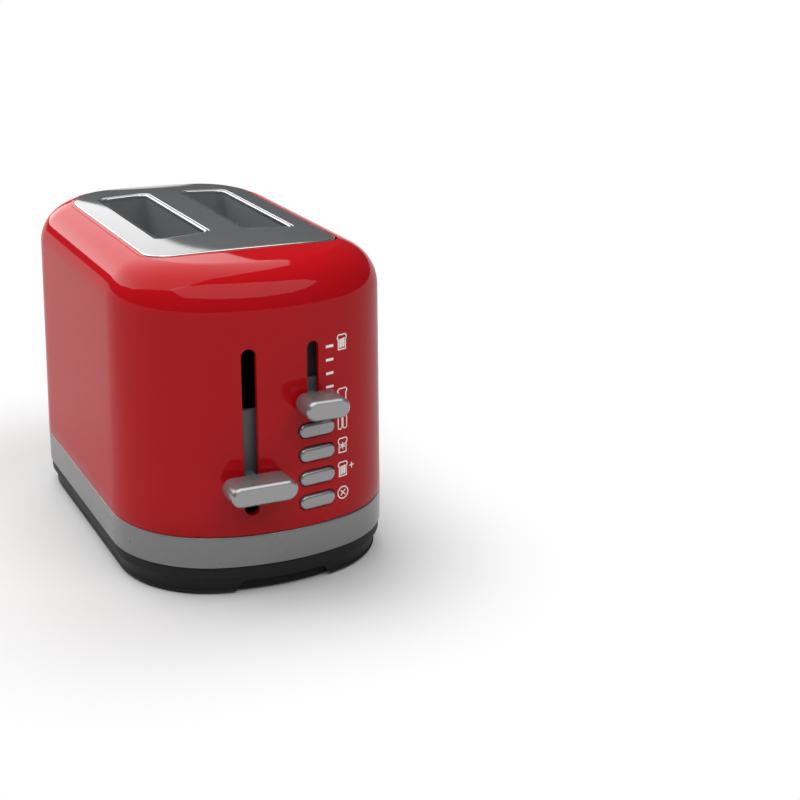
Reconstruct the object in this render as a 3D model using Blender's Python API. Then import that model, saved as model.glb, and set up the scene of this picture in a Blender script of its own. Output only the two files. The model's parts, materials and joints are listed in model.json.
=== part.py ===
"""Toy pop-up toaster: a bowed plastic housing over a tray base, with two bread wells,
a carriage that lifts the bread on two guide rods, a clockwork timer geared to it by a
rack, a browning slider and four sprung function buttons.

Metres, +Z up. The front, with the controls, faces -Y. Shapes are drawn about the middle
of the body, and one empty moves them all so that the origin lies on the floor under the
middle of the whole toy.
"""
import math

import bmesh
import bpy
from mathutils import Matrix, Vector

# Body
BODY_WIDTH = 0.120
BODY_LENGTH = 0.1973
CORNER_RADIUS = 0.0463
BOW_RADIUS = 0.0916
SHELL_WALL = 0.0022
SHELL_HEIGHT = 0.1095
SHOULDER_RADIUS = 0.018
SIDE_DRAFT = 0.0018
TOP_CROWN = 0.0027

# Base, feet and trim band
FLOOR_CLEARANCE = 0.0008
BASE_HEIGHT = 0.0134
BASE_WALL = 0.0015
BASE_FLOOR = 0.0022
RING_HEIGHT = 0.0049
RING_SETBACK = 0.0006
SKIRT_TOP_SETBACK = 0.0010
SKIRT_SETBACK = 0.0031
SKIRT_LIP = 0.0005
SKIRT_LIP_HEIGHT = 0.0012
REGISTER_LIP = 0.0030
FINGER_RECESS_WIDTH = 0.042
FINGER_RECESS_HEIGHT = 0.0052
FINGER_RECESS_DEPTH = 0.0022
FINGER_RECESS_SLANT = 0.0030
FINGER_RECESS_OFFSET = 0.0035
BAND_HEIGHT = 0.0134
BAND_WALL = 0.0040
BAND_EDGE = 0.0004
FOOT_RADIUS = 0.0070
FOOT_INLAY = 0.0011
FOOT_EDGE = 0.0004
FOOT_SIDE_SETBACK = 0.020
FOOT_END_SETBACK = 0.03065

# Assembly screws
BOSS_RADIUS = 0.0042
BOSS_SIDE_SETBACK = 0.0135
BOSS_END_SETBACK = 0.04665
BOSS_RIB = 0.0024
BOSS_HEIGHT = 0.050
SCREW_RADIUS = 0.0014
SCREW_HEAD_RADIUS = 0.0027
SCREW_HEAD_HEIGHT = 0.0016
HEAD_TAPER_SHARE = 0.8
SCREW_GRIP = 0.0095
SCREW_RECESS = 0.0045

# Top panel and bread wells
PANEL_MARGIN = 0.0179
PANEL_FRONT_SETBACK = 0.0351
PANEL_FRONT_BOW = 0.190
PANEL_FRONT_CORNER = 0.0100
PANEL_THICKNESS = 0.0022
PANEL_PROUD = 0.0005
PANEL_EDGE = 0.0007
PANEL_SIDE_GAP = 0.0010
PANEL_FRONT_GAP = 0.0004
DOME_RING_SHARES = (0.86, 0.68, 0.48, 0.24)
LEDGE_WIDTH = 0.0030
LEDGE_THICKNESS = 0.0015
SLOT_CORNER = 0.0042
SLOT_SIDE_MARGIN = 0.010875
SLOT_BRIDGE = 0.01435
SLOT_FRONT_MARGIN = 0.02815
SLOT_BACK_MARGIN = 0.02495
WELL_WALL = 0.0013
WELL_RIM_PROUD = 0.0002
WELL_RIM_EDGE = 0.0003
WELL_RIM_ROUND = 0.0009
WELL_BOTTOM = 0.0290
WELL_FLANGE = 0.0022
WELL_FLANGE_THICKNESS = 0.0014
WELL_FLANGE_DROP = 0.0046

# Lever, carriage and bread lifts
LEVER_SLOT_X = -0.0145
LEVER_SLOT_WIDTH = 0.0059
LEVER_SLOT_BOTTOM = 0.0359
LEVER_SLOT_TOP = 0.1056
LEVER_TRAVEL = 0.0420
LEVER_Z = 0.0505
KNOB_REACH = 0.0141
LEVER_KNOB_WIDTH = 0.0280
LEVER_KNOB_HEIGHT = 0.0086
LEVER_KNOB_DEPTH = 0.0128
KNOB_CHAMFER = 0.0009
KNOB_WELL = 0.0060
NECK_HEIGHT = 0.0052
NECK_ROUND_SHARE = 0.2
SHUTTER_WIDTH = 0.0092
SHUTTER_THICKNESS = 0.0014
SHUTTER_CROWN = 0.0007
SHUTTER_TOP = 0.0792
SHUTTER_BOTTOM = 0.0390
SHUTTER_SETBACK = 0.0050
CARRIAGE_SETBACK = 0.0146
CARRIAGE_BLOCK_WIDTH = 0.0250
CARRIAGE_BLOCK_DEPTH = 0.0100
CARRIAGE_BLOCK_HEIGHT = 0.0170
CARRIAGE_BOTTOM = 0.0335
CARRIAGE_ARM = 0.0040
CARRIAGE_BAR_HEIGHT = 0.0060
LIFT_THICKNESS = 0.0016
LIFT_HEIGHT = 0.0045
LIFT_SIDE_CLEARANCE = 0.0019
LIFT_FINGER_LENGTH = 0.0024
LIFT_FINGERS = 7
ROD_RADIUS = 0.0015
ROD_SPACING = 0.0150
ROD_TOP_DROP = 0.0015
ROD_SOCKET_RADIUS = 0.0036
ROD_SOCKET_HEIGHT = 0.0060
ROD_SOCKET_FLOOR = 0.0020
SPRING_RADIUS = 0.0022
SPRING_WIRE = 0.00035
SPRING_TURNS = 12

# Chassis
CHASSIS_THICKNESS = 0.0020
CHASSIS_OVERHANG = 0.0028
CHASSIS_DROP = 0.0073
CHASSIS_FOOT = 0.0080
LUG_THICKNESS = 0.0030
LUG_WIDTH = 0.0300
ARM_SLOT_WIDTH = 0.0060

# Clockwork timer
GEAR_MODULE = 0.0010
PINION_TEETH = 12
PINION_WIDTH = 0.0040
PRESSURE_ANGLE = math.radians(20.0)
BACKLASH = 0.0002
ROOT_SHARE = 1.25
RACK_TOOTH_COUNT = 17
RACK_LEAD_TEETH = 2.5
RACK_BACK = 0.0024
RACK_WIDTH = 0.0040
RACK_SETBACK = 0.0020
PINION_Z = 0.0570
TIMER_SIDE_SETBACK = 0.0192
TIMER_HEIGHT = 0.0250
TIMER_NOSE = 0.0110
TIMER_EDGE = 0.0020
TIMER_SHAFT_RADIUS = 0.0016
TIMER_BEARING_DEPTH = 0.0050

# Browning slider
BROWNING_SLOT_X = 0.0127
BROWNING_SLOT_WIDTH = 0.0051
BROWNING_SLOT_BOTTOM = 0.0785
BROWNING_SLOT_TOP = 0.1059
BROWNING_Z = 0.0819
BROWNING_TRAVEL = 0.0205
BROWNING_KNOB_WIDTH = 0.0187
BROWNING_KNOB_HEIGHT = 0.0085
SLIDER_WIDTH = 0.0090
SLIDER_HEIGHT = 0.0150
SLIDER_THICKNESS = 0.0018
SLIDER_NECK_HEIGHT = 0.0044

# Function buttons
BUTTON_COUNT = 4
BUTTON_X = 0.0141
BUTTON_TOP_Z = 0.0687
BUTTON_PITCH = 0.01035
BUTTON_WIDTH = 0.0164
BUTTON_HEIGHT = 0.0058
BUTTON_PROUD = 0.0014
BUTTON_EDGE = 0.0008
SOFT_EDGE_SHARE = 0.3
BUTTON_GAP = 0.00035
BUTTON_FLANGE = 0.0010
BUTTON_FLANGE_THICKNESS = 0.0012
BUTTON_STEM_RADIUS = 0.0012
BUTTON_SPRING_RADIUS = 0.0019
BUTTON_SPRING_WIRE = 0.0003
BUTTON_SPRING_TURNS = 3
BUTTON_SPRING_LENGTH = 0.0060
FRAME_THICKNESS = 0.0020
FRAME_MARGIN = 0.0036
FRAME_PEG_RADIUS = 0.0022
FRAME_SCREW_RADIUS = 0.0010
FRAME_SCREW_HEAD = 0.0020
FRAME_SCREW_HEAD_HEIGHT = 0.0012
FRAME_SCREW_GRIP = 0.0050

# Fits
SEAT_GAP = 0.0003
RUNNING_GAP = 0.0003
OVERRUN = 0.0020
TINY_SHARE = 0.001

# Numbers of facets
BOW_STEPS = 6
CORNER_STEPS = 9
SHOULDER_STEPS = 5
ROUND_STEPS = 16
FILLET_STEPS = 4
FLANK_STEPS = 3
COIL_STEPS = 8
NECK_STEPS = 2
END_STEPS = 5
SCREW_STEPS = 8
WIRE_RESOLUTION = 0
FLAT_ANGLE = math.radians(30)

# Levels that follow from the sizes
BAND_BOTTOM = BASE_HEIGHT
BAND_TOP = BAND_BOTTOM + BAND_HEIGHT
SHELL_TOP = BAND_TOP + SHELL_HEIGHT
SHOULDER_CENTRE = SIDE_DRAFT + SHOULDER_RADIUS
SHOULDER_END = math.acos((SHOULDER_CENTRE - PANEL_MARGIN) / SHOULDER_RADIUS)
SHOULDER_BOTTOM = SHELL_TOP - SHOULDER_RADIUS * math.sin(SHOULDER_END)
DOME_HALF_WIDTH = BODY_WIDTH / 2 - PANEL_MARGIN
DOME_HALF_LENGTH = BODY_LENGTH / 2 - PANEL_MARGIN
FOOT_X = BODY_WIDTH / 2 - FOOT_SIDE_SETBACK
FOOT_Y = BODY_LENGTH / 2 - FOOT_END_SETBACK
BOSS_X = BODY_WIDTH / 2 - BOSS_SIDE_SETBACK
BOSS_Y = BODY_LENGTH / 2 - BOSS_END_SETBACK
BASE_TOP = BAND_BOTTOM - SEAT_GAP
FLOOR_TOP = FLOOR_CLEARANCE + BASE_FLOOR
TOWER_TOP = BAND_TOP + REGISTER_LIP
SOCKET_TOP = FLOOR_TOP + ROD_SOCKET_HEIGHT
SLOT_WIDTH = DOME_HALF_WIDTH - SLOT_SIDE_MARGIN - SLOT_BRIDGE / 2
SLOT_X = (SLOT_BRIDGE + SLOT_WIDTH) / 2
SLOT_FRONT = -BODY_LENGTH / 2 + PANEL_FRONT_SETBACK + SLOT_FRONT_MARGIN
SLOT_BACK = DOME_HALF_LENGTH - SLOT_BACK_MARGIN
SLOT_LENGTH = SLOT_BACK - SLOT_FRONT
SLOT_Y = (SLOT_FRONT + SLOT_BACK) / 2
WELL_FRONT = SLOT_FRONT + SEAT_GAP
CHASSIS_BACK = WELL_FRONT - SEAT_GAP
CHASSIS_FRONT = CHASSIS_BACK - CHASSIS_THICKNESS
CHASSIS_WIDTH = 2 * (SLOT_X + SLOT_WIDTH / 2 + CHASSIS_OVERHANG)
CHASSIS_TOP = SHELL_TOP - CHASSIS_DROP
ROD_TOP = CHASSIS_TOP - ROD_TOP_DROP
CARRIAGE_Y = CHASSIS_FRONT - CARRIAGE_SETBACK
CARRIAGE_BACK = CARRIAGE_Y + CARRIAGE_BLOCK_DEPTH / 2
CARRIAGE_FRONT = CARRIAGE_Y - CARRIAGE_BLOCK_DEPTH / 2
BLOCK_TOP = CARRIAGE_BOTTOM + CARRIAGE_BLOCK_HEIGHT
BAR_TOP = CARRIAGE_BOTTOM + CARRIAGE_BAR_HEIGHT
ARM_SLOT_TOP = BAR_TOP + LEVER_TRAVEL + RUNNING_GAP
LIFT_FINGER_WIDTH = SLOT_WIDTH - 2 * (SEAT_GAP + WELL_WALL + LIFT_SIDE_CLEARANCE)
LEVER_NECK_WIDTH = LEVER_SLOT_WIDTH - 2 * RUNNING_GAP - SEAT_GAP
BROWNING_NECK_WIDTH = BROWNING_SLOT_WIDTH - 2 * RUNNING_GAP
PITCH_RADIUS = GEAR_MODULE * PINION_TEETH / 2
TOOTH_PITCH = math.pi * GEAR_MODULE


def clear_scene():
    """Remove whatever the scene holds."""
    for item in list(bpy.data.objects):
        bpy.data.objects.remove(item, do_unlink=True)


def material(name, colour, roughness, metallic=0.0):
    """One Principled material."""
    made = bpy.data.materials.new(name)
    made.use_nodes = True
    shader = made.node_tree.nodes["Principled BSDF"]
    shader.inputs["Base Color"].default_value = (*colour, 1.0)
    shader.inputs["Roughness"].default_value = roughness
    shader.inputs["Metallic"].default_value = metallic
    return made


def spread(start, end, count):
    """Evenly spaced values from start to end, both included."""
    return [start + (end - start) * index / count for index in range(count + 1)]


def end_half(half_width, reach, corner, bow):
    """Half of one bowed end as (x, outward) points, from its middle to its straight side."""
    bow_centre = reach - bow
    corner_x = half_width - corner
    rise = math.sqrt((bow - corner) ** 2 - corner_x ** 2)
    split = math.atan2(corner_x, rise)
    middle = [(bow * math.sin(angle), bow_centre + bow * math.cos(angle))
              for angle in spread(0, split, BOW_STEPS)]
    turn = [(corner_x + corner * math.sin(angle), bow_centre + rise + corner * math.cos(angle))
            for angle in spread(split, math.pi / 2, CORNER_STEPS)]
    return middle[:-1] + turn


def mirrored_ring(front, back):
    """Closed outline, counter-clockwise from above, from the right halves of its two ends."""
    right = [(x, -out) for x, out in front] + [(x, out) for x, out in reversed(back)]
    left = [(-x, y) for x, y in reversed(right[1:-1])]
    return right + left


def body_ring(inset):
    """Plan of the body, drawn in by inset all round."""
    end = end_half(BODY_WIDTH / 2 - inset, BODY_LENGTH / 2 - inset,
                   CORNER_RADIUS - inset, BOW_RADIUS - inset)
    return mirrored_ring(end, end)


def panel_ring(inset, front_inset=None):
    """Plan of the top panel, which follows the body at its sides and back."""
    margin = PANEL_MARGIN + inset
    if front_inset is None:
        front_inset = inset
    back = end_half(BODY_WIDTH / 2 - margin, BODY_LENGTH / 2 - margin,
                    CORNER_RADIUS - margin, BOW_RADIUS - margin)
    front = end_half(BODY_WIDTH / 2 - margin, BODY_LENGTH / 2 - PANEL_FRONT_SETBACK - front_inset,
                     PANEL_FRONT_CORNER - inset, PANEL_FRONT_BOW - front_inset)
    return mirrored_ring(front, back)


def panel_hole():
    """Plan of the hole for the panel, with a wide gap at its sides and a fine one in front."""
    return panel_ring(-PANEL_SIDE_GAP, -PANEL_FRONT_GAP)


def rounded_ring(width, height, radius, steps=FILLET_STEPS):
    """Rounded rectangle about zero, counter-clockwise."""
    points = []
    for turn, (sx, sy) in enumerate(((1, -1), (1, 1), (-1, 1), (-1, -1))):
        centre = Vector((sx * (width / 2 - radius), sy * (height / 2 - radius)))
        start = (turn - 1) * math.pi / 2
        for angle in spread(start, start + math.pi / 2, steps):
            points.append((centre.x + radius * math.cos(angle), centre.y + radius * math.sin(angle)))
    return drop_repeats(points)


def drop_repeats(points):
    """Outline without points that fall on the one before."""
    kept = []
    for point in points:
        if not kept or (Vector(point) - Vector(kept[-1])).length > OVERRUN * TINY_SHARE:
            kept.append(point)
    if (Vector(kept[0]) - Vector(kept[-1])).length < OVERRUN * TINY_SHARE:
        kept.pop()
    return kept


def circle(radius, steps=ROUND_STEPS):
    """Circle about zero, counter-clockwise."""
    return [(radius * math.cos(2 * math.pi * index / steps),
             radius * math.sin(2 * math.pi * index / steps)) for index in range(steps)]


def dome(x, y):
    """Height of the housing's domed top over a point of the plan."""
    across = 1 - (x / DOME_HALF_WIDTH) ** 2
    along = 1 - (y / DOME_HALF_LENGTH) ** 4
    return SHELL_TOP + TOP_CROWN * across * along


def at_height(ring, z):
    """Outline lifted to one height."""
    return [(x, y, z) for x, y in ring]


def on_dome(ring, lift):
    """Outline laid on the domed top, moved up by lift."""
    return [(x, y, dome(x, y) + lift) for x, y in ring]


def across(ring, y, x, z):
    """Outline drawn in width and height, stood up square to the Y axis, seen from the front."""
    return [(x + u, y, z + v) for u, v in ring]


def wall_y(x, z, inset=0.0):
    """Y of the front wall's outer face at a height, or of a face that lies inset behind it."""
    draft = SIDE_DRAFT * max(0.0, z - BAND_TOP) / (SHOULDER_BOTTOM - BAND_TOP)
    radius = BOW_RADIUS - draft - inset
    return -(BODY_LENGTH / 2 - BOW_RADIUS + math.sqrt(radius ** 2 - x ** 2))


def bowed(ring, x, z, inset):
    """Outline stood up on the bowed front wall, inset behind its outer face."""
    return [(x + u, wall_y(x + u, z, inset), z + v) for u, v in ring]


def solid(name, rings, looped=False):
    """Mesh object through rings with equal numbers of points, capped or joined end to end."""
    mesh = bpy.data.meshes.new(name)
    bm = bmesh.new()
    add_rings(bm, rings, looped)
    bm.to_mesh(mesh)
    bm.free()
    made = bpy.data.objects.new(name, mesh)
    bpy.context.scene.collection.objects.link(made)
    return made


def add_rings(bm, rings, looped=False):
    """Skin of one closed body through a stack of rings."""
    rows = [[bm.verts.new(point) for point in ring] for ring in rings]
    pairs = list(zip(rows, rows[1:]))
    if looped:
        pairs.append((rows[-1], rows[0]))
    faces = []
    for low, high in pairs:
        for index in range(len(low)):
            after = (index + 1) % len(low)
            faces.append(bm.faces.new((low[index], low[after], high[after], high[index])))
    if not looped:
        faces.append(bm.faces.new(list(reversed(rows[0]))))
        faces.append(bm.faces.new(rows[-1]))
    bmesh.ops.recalc_face_normals(bm, faces=faces)


def bodies(name, stacks):
    """Mesh object of several separate capped bodies."""
    mesh = bpy.data.meshes.new(name)
    bm = bmesh.new()
    for rings in stacks:
        add_rings(bm, rings)
    bm.to_mesh(mesh)
    bm.free()
    made = bpy.data.objects.new(name, mesh)
    bpy.context.scene.collection.objects.link(made)
    return made


def box(low, high):
    """Rings of a box between two corners."""
    (x0, y0, z0), (x1, y1, z1) = low, high
    plan = [(x0, y0), (x1, y0), (x1, y1), (x0, y1)]
    return [at_height(plan, z0), at_height(plan, z1)]


def post(x, y, radius, low, high, steps=ROUND_STEPS):
    """Rings of an upright cylinder."""
    plan = [(x + u, y + v) for u, v in circle(radius, steps)]
    return [at_height(plan, low), at_height(plan, high)]


def pin(x, z, radius, front, back, steps=ROUND_STEPS):
    """Rings of a cylinder along Y."""
    ring = circle(radius, steps)
    return [across(ring, back, x, z), across(ring, front, x, z)]


def helper(tool):
    """Mark an object as a cutter or filler that isn't a piece of the toy."""
    tool.hide_render = True
    tool.display_type = 'WIRE'
    return tool


def combine(target, tool, operation):
    """Cut a helper out of the target, or join it on."""
    modifier = target.modifiers.new(tool.name, 'BOOLEAN')
    modifier.operation = operation
    modifier.solver = 'EXACT'
    modifier.object = helper(tool)


def cut(target, name, stacks):
    """Cut separate bodies out of the target."""
    combine(target, bodies(target.name + "_" + name, stacks), 'DIFFERENCE')


def add(target, name, stacks):
    """Join separate bodies on to the target."""
    combine(target, bodies(target.name + "_" + name, stacks), 'UNION')


def shade(piece, finish):
    """Give a piece its material, smooth where it is round."""
    piece.data.materials.append(finish)
    piece.data.shade_smooth()
    piece.data.set_sharp_from_angle(angle=FLAT_ANGLE)
    return piece


def shoulder(wall):
    """Rings of the shoulder, upwards, for the outer face or one that lies wall inside it."""
    end = SHOULDER_END if wall == 0 else math.asin(
        (dome_edge() - LEDGE_THICKNESS - SHOULDER_BOTTOM) / (SHOULDER_RADIUS - wall))
    return [at_height(body_ring(SHOULDER_CENTRE - (SHOULDER_RADIUS - wall) * math.cos(angle)),
                      SHOULDER_BOTTOM + (SHOULDER_RADIUS - wall) * math.sin(angle))
            for angle in spread(0, end, SHOULDER_STEPS)]


def dome_edge():
    """Height of the ledge that carries the panel, at the panel's sides."""
    return SHELL_TOP + PANEL_PROUD - PANEL_THICKNESS - SEAT_GAP


def stadium(length, height):
    """Flat-sided outline with round ends."""
    return rounded_ring(length, height, height / 2, END_STEPS)


def boss_places():
    """Places of the four assembly screws."""
    return [(sx * BOSS_X, sy * BOSS_Y) for sx in (-1, 1) for sy in (-1, 1)]


def frame_peg_places():
    """Places, in width and height, of the two pegs that carry the control frame."""
    reach = BUTTON_WIDTH / 2 + BUTTON_FLANGE + FRAME_PEG_RADIUS + SEAT_GAP
    middle = BUTTON_TOP_Z - (BUTTON_COUNT - 1) * BUTTON_PITCH / 2
    return [(BUTTON_X - reach, middle), (BUTTON_X + reach, middle)]


def build_shell(finish):
    """Housing: drafted bowed walls, rounded shoulder, domed shelf and a ledge for the panel."""
    seat = PANEL_PROUD - PANEL_THICKNESS - SEAT_GAP
    rings = [at_height(body_ring(0), BAND_TOP + SEAT_GAP)]
    rings += shoulder(0)[:-1]
    rings.append(on_dome(body_ring(PANEL_MARGIN), 0))
    rings.append(on_dome(panel_hole(), 0))
    rings.append(on_dome(panel_hole(), seat))
    rings.append(on_dome(panel_ring(LEDGE_WIDTH), seat))
    rings.append(at_height(panel_ring(LEDGE_WIDTH), dome_edge() - LEDGE_THICKNESS))
    rings += reversed(shoulder(SHELL_WALL))
    rings.append(at_height(body_ring(SHELL_WALL), BAND_TOP + SEAT_GAP))
    shell = solid("body_shell", rings, looped=True)
    add_shell_bosses(shell)
    cut_shell_front(shell)
    return shade(shell, finish)


def add_shell_bosses(shell):
    """Screw bosses on ribs in the corners, and pegs that carry the control frame."""
    stacks = []
    low = BAND_TOP + REGISTER_LIP + SEAT_GAP
    for x, y in boss_places():
        side = math.copysign(1, x)
        wall = BODY_WIDTH / 2 - SHELL_WALL / 2 - SIDE_DRAFT / 2
        inner, outer = sorted((x, side * wall))
        stacks.append(box((inner, y - BOSS_RIB / 2, low), (outer, y + BOSS_RIB / 2, low + BOSS_HEIGHT)))
    add(shell, "ribs", stacks)
    posts = [post(x, y, BOSS_RADIUS, low, low + BOSS_HEIGHT + SHELL_WALL) for x, y in boss_places()]
    add(shell, "bosses", posts)
    pegs = [pin(x, z, FRAME_PEG_RADIUS, wall_y(x, z, SHELL_WALL / 2), frame_front())
            for x, z in frame_peg_places()]
    add(shell, "pegs", pegs)
    holes = [post(x, y, SCREW_RADIUS + SEAT_GAP, low - OVERRUN, low + SCREW_GRIP)
             for x, y in boss_places()]
    bottom = frame_front() + FRAME_THICKNESS - FRAME_SCREW_GRIP
    holes += [pin(x, z, FRAME_SCREW_RADIUS + SEAT_GAP, bottom, frame_front() + OVERRUN)
              for x, z in frame_peg_places()]
    cut(shell, "screw_holes", holes)


def frame_front():
    """Y of the front face of the control frame, behind the pressed buttons."""
    flange_back = wall_y(0, BUTTON_TOP_Z, SHELL_WALL + SEAT_GAP + BUTTON_FLANGE_THICKNESS)
    return flange_back + BUTTON_SPRING_LENGTH


def cut_shell_front(shell):
    """Slots for the lever and the browning slider, and holes for the buttons."""
    front = -BODY_LENGTH / 2 - OVERRUN
    back = wall_y(BUTTON_X + BUTTON_WIDTH, SHELL_TOP - SHOULDER_RADIUS, SHELL_WALL) + OVERRUN
    openings = []
    for x, width, low, high in (
            (LEVER_SLOT_X, LEVER_SLOT_WIDTH, LEVER_SLOT_BOTTOM, LEVER_SLOT_TOP),
            (BROWNING_SLOT_X, BROWNING_SLOT_WIDTH, BROWNING_SLOT_BOTTOM, BROWNING_SLOT_TOP)):
        ring = rounded_ring(width, high - low, width / 2, END_STEPS)
        middle = (low + high) / 2
        openings.append([across(ring, back, x, middle), across(ring, front, x, middle)])
    ring = stadium(BUTTON_WIDTH + 2 * BUTTON_GAP, BUTTON_HEIGHT + 2 * BUTTON_GAP)
    for z in button_heights():
        openings.append([across(ring, back, BUTTON_X, z), across(ring, front, BUTTON_X, z)])
    cut(shell, "front_openings", openings)


def button_heights():
    """Heights of the buttons, from the top one down."""
    return [BUTTON_TOP_Z - index * BUTTON_PITCH for index in range(BUTTON_COUNT)]


def build_band(finish):
    """Trim band: flush with the housing, with a lip that locates the housing inside."""
    profile = ((0, BAND_BOTTOM), (0, BAND_TOP - BAND_EDGE), (BAND_EDGE, BAND_TOP),
               (SHELL_WALL + SEAT_GAP, BAND_TOP), (SHELL_WALL + SEAT_GAP, BAND_TOP + REGISTER_LIP),
               (BAND_WALL, BAND_TOP + REGISTER_LIP), (BAND_WALL, BAND_BOTTOM))
    band = solid("trim_band", [at_height(body_ring(inset), z) for inset, z in profile], looped=True)
    return shade(band, finish)


def build_base(finish):
    """Tray base: undercut skirt with a foot lip, a dark ring, screw towers and rod sockets."""
    base = solid("base", [at_height(body_ring(inset), z) for inset, z in base_profile()])
    low = FLOOR_TOP - BASE_FLOOR / 2
    under = FLOOR_CLEARANCE - OVERRUN
    towers = [post(x, y, BOSS_RADIUS, low, TOWER_TOP) for x, y in boss_places()]
    towers += [post(x, y, ROD_SOCKET_RADIUS, low, SOCKET_TOP) for x, y in rod_places()]
    add(base, "towers", towers)
    cut(base, "screw_holes", [post(x, y, SCREW_RADIUS + SEAT_GAP, under, TOWER_TOP + OVERRUN)
                              for x, y in boss_places()])
    recesses = [post(x, y, SCREW_HEAD_RADIUS + SEAT_GAP, under, FLOOR_CLEARANCE + SCREW_RECESS)
                for x, y in boss_places()]
    recesses += [post(x, y, ROD_RADIUS + SEAT_GAP, FLOOR_TOP + ROD_SOCKET_FLOOR, SOCKET_TOP + OVERRUN)
                 for x, y in rod_places()]
    recesses += [post(x, y, FOOT_RADIUS + SEAT_GAP, under, FLOOR_CLEARANCE + FOOT_INLAY)
                 for x, y in foot_places()]
    cut(base, "recesses", recesses)
    cut(base, "finger_recess", [finger_recess()])
    return shade(base, finish)


def base_profile():
    """Section of the tray's wall as insets and heights, from its underside up and in again."""
    lip_outer = BAND_WALL + SEAT_GAP
    lip_inner = lip_outer + BASE_WALL
    foot = SKIRT_SETBACK - SKIRT_LIP
    skirt_top = BASE_HEIGHT - RING_HEIGHT
    return ((SKIRT_SETBACK, FLOOR_CLEARANCE), (foot, FLOOR_CLEARANCE + SKIRT_LIP),
            (foot, FLOOR_CLEARANCE + SKIRT_LIP_HEIGHT),
            (SKIRT_SETBACK, FLOOR_CLEARANCE + SKIRT_LIP_HEIGHT),
            (SKIRT_TOP_SETBACK, skirt_top), (RING_SETBACK, skirt_top), (RING_SETBACK, BASE_TOP),
            (lip_outer, BASE_TOP), (lip_outer, BASE_TOP + REGISTER_LIP),
            (lip_inner, BASE_TOP + REGISTER_LIP), (lip_inner, FLOOR_TOP))


def finger_recess():
    """Rings of the shallow finger recess in the front of the skirt, with slanting ends."""
    low = FLOOR_CLEARANCE - OVERRUN
    high = FLOOR_CLEARANCE + FINGER_RECESS_HEIGHT
    half = FINGER_RECESS_WIDTH / 2
    face = SKIRT_SETBACK + FINGER_RECESS_DEPTH
    rings = []
    for z, reach in ((low, half), (high, half - FINGER_RECESS_SLANT)):
        xs = spread(FINGER_RECESS_OFFSET + reach, FINGER_RECESS_OFFSET - reach, BOW_STEPS)
        back = [(x, wall_y(x, BAND_BOTTOM, face)) for x in xs]
        rings.append(at_height(back + [(back[-1][0], -BODY_LENGTH / 2 - OVERRUN),
                                       (back[0][0], -BODY_LENGTH / 2 - OVERRUN)], z))
    return rings


def rod_places():
    """Places of the two guide rods."""
    return [(side * ROD_SPACING / 2, CARRIAGE_Y) for side in (-1, 1)]


def foot_places():
    """Places of the four feet."""
    return [(sx * FOOT_X, sy * FOOT_Y) for sy in (-1, 1) for sx in (-1, 1)]


def build_feet(finish):
    """Four rubber feet, inlaid in the base."""
    feet = []
    for number, (x, y) in enumerate(foot_places(), 1):
        top = FLOOR_CLEARANCE + FOOT_INLAY - SEAT_GAP
        profile = ((FOOT_RADIUS - FOOT_EDGE, 0), (FOOT_RADIUS, FOOT_EDGE), (FOOT_RADIUS, top))
        rings = [at_height([(x + u, y + v) for u, v in circle(radius)], z) for radius, z in profile]
        feet.append(shade(solid(f"foot_{number}", rings), finish))
    return feet


def screw_rings(place, radius, head_radius, head_height, grip, steps):
    """Rings of a pan head screw along its own axis; place sets a ring at a depth."""
    profile = ((head_radius * HEAD_TAPER_SHARE, 0), (head_radius, head_height / 2),
               (head_radius, head_height), (radius, head_height), (radius, head_height + grip))
    return [place(circle(size, steps), depth) for size, depth in profile]


def build_base_screws(finish):
    """Four screws that hold the housing to the base."""
    top = FLOOR_CLEARANCE + SCREW_RECESS - SEAT_GAP
    reach = TOWER_TOP - top + SCREW_GRIP - OVERRUN
    screws = []
    for number, (x, y) in enumerate(boss_places(), 1):
        def place(ring, depth, x=x, y=y):
            return [(x + u, y + v, top - SCREW_HEAD_HEIGHT + depth) for u, v in ring]
        rings = screw_rings(place, SCREW_RADIUS, SCREW_HEAD_RADIUS, SCREW_HEAD_HEIGHT, reach,
                            SCREW_STEPS)
        screws.append(shade(solid(f"base_screw_{number}", rings), finish))
    return screws


def build_panel(finish):
    """Top panel: domed plate with a rounded edge and two bread openings."""
    under = PANEL_PROUD - PANEL_THICKNESS
    soft = PANEL_EDGE * SOFT_EDGE_SHARE
    rings = [on_dome(panel_ring(0), under), on_dome(panel_ring(0), PANEL_PROUD - PANEL_EDGE),
             on_dome(panel_ring(soft), PANEL_PROUD - soft),
             on_dome(panel_ring(PANEL_EDGE), PANEL_PROUD)]
    panel = solid("top_panel", rings)
    refine_dome(panel, under)
    ring = rounded_ring(SLOT_WIDTH, SLOT_LENGTH, SLOT_CORNER)
    openings = [[at_height([(sx * SLOT_X + u, SLOT_Y + v) for u, v in ring], z)
                 for z in (SHELL_TOP - PANEL_THICKNESS - OVERRUN, SHELL_TOP + TOP_CROWN + OVERRUN)]
                for sx in (-1, 1)]
    cut(panel, "bread_openings", openings)
    return shade(panel, finish)


def refine_dome(panel, under):
    """Replace the plate's two flat caps by strips that follow the dome."""
    bm = bmesh.new()
    bm.from_mesh(panel.data)
    caps = [face for face in bm.faces if len(face.verts) > 4]
    count = len(caps[0].verts)
    bmesh.ops.delete(bm, geom=caps, context='FACES_ONLY')
    bm.verts.ensure_lookup_table()
    rows = (list(bm.verts[:count]), list(bm.verts[-count:]))
    for row, lift in zip(rows, (under, PANEL_PROUD)):
        shrink_to_crest(bm, row, lift)
    bmesh.ops.recalc_face_normals(bm, faces=bm.faces)
    bm.to_mesh(panel.data)
    bm.free()


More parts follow.
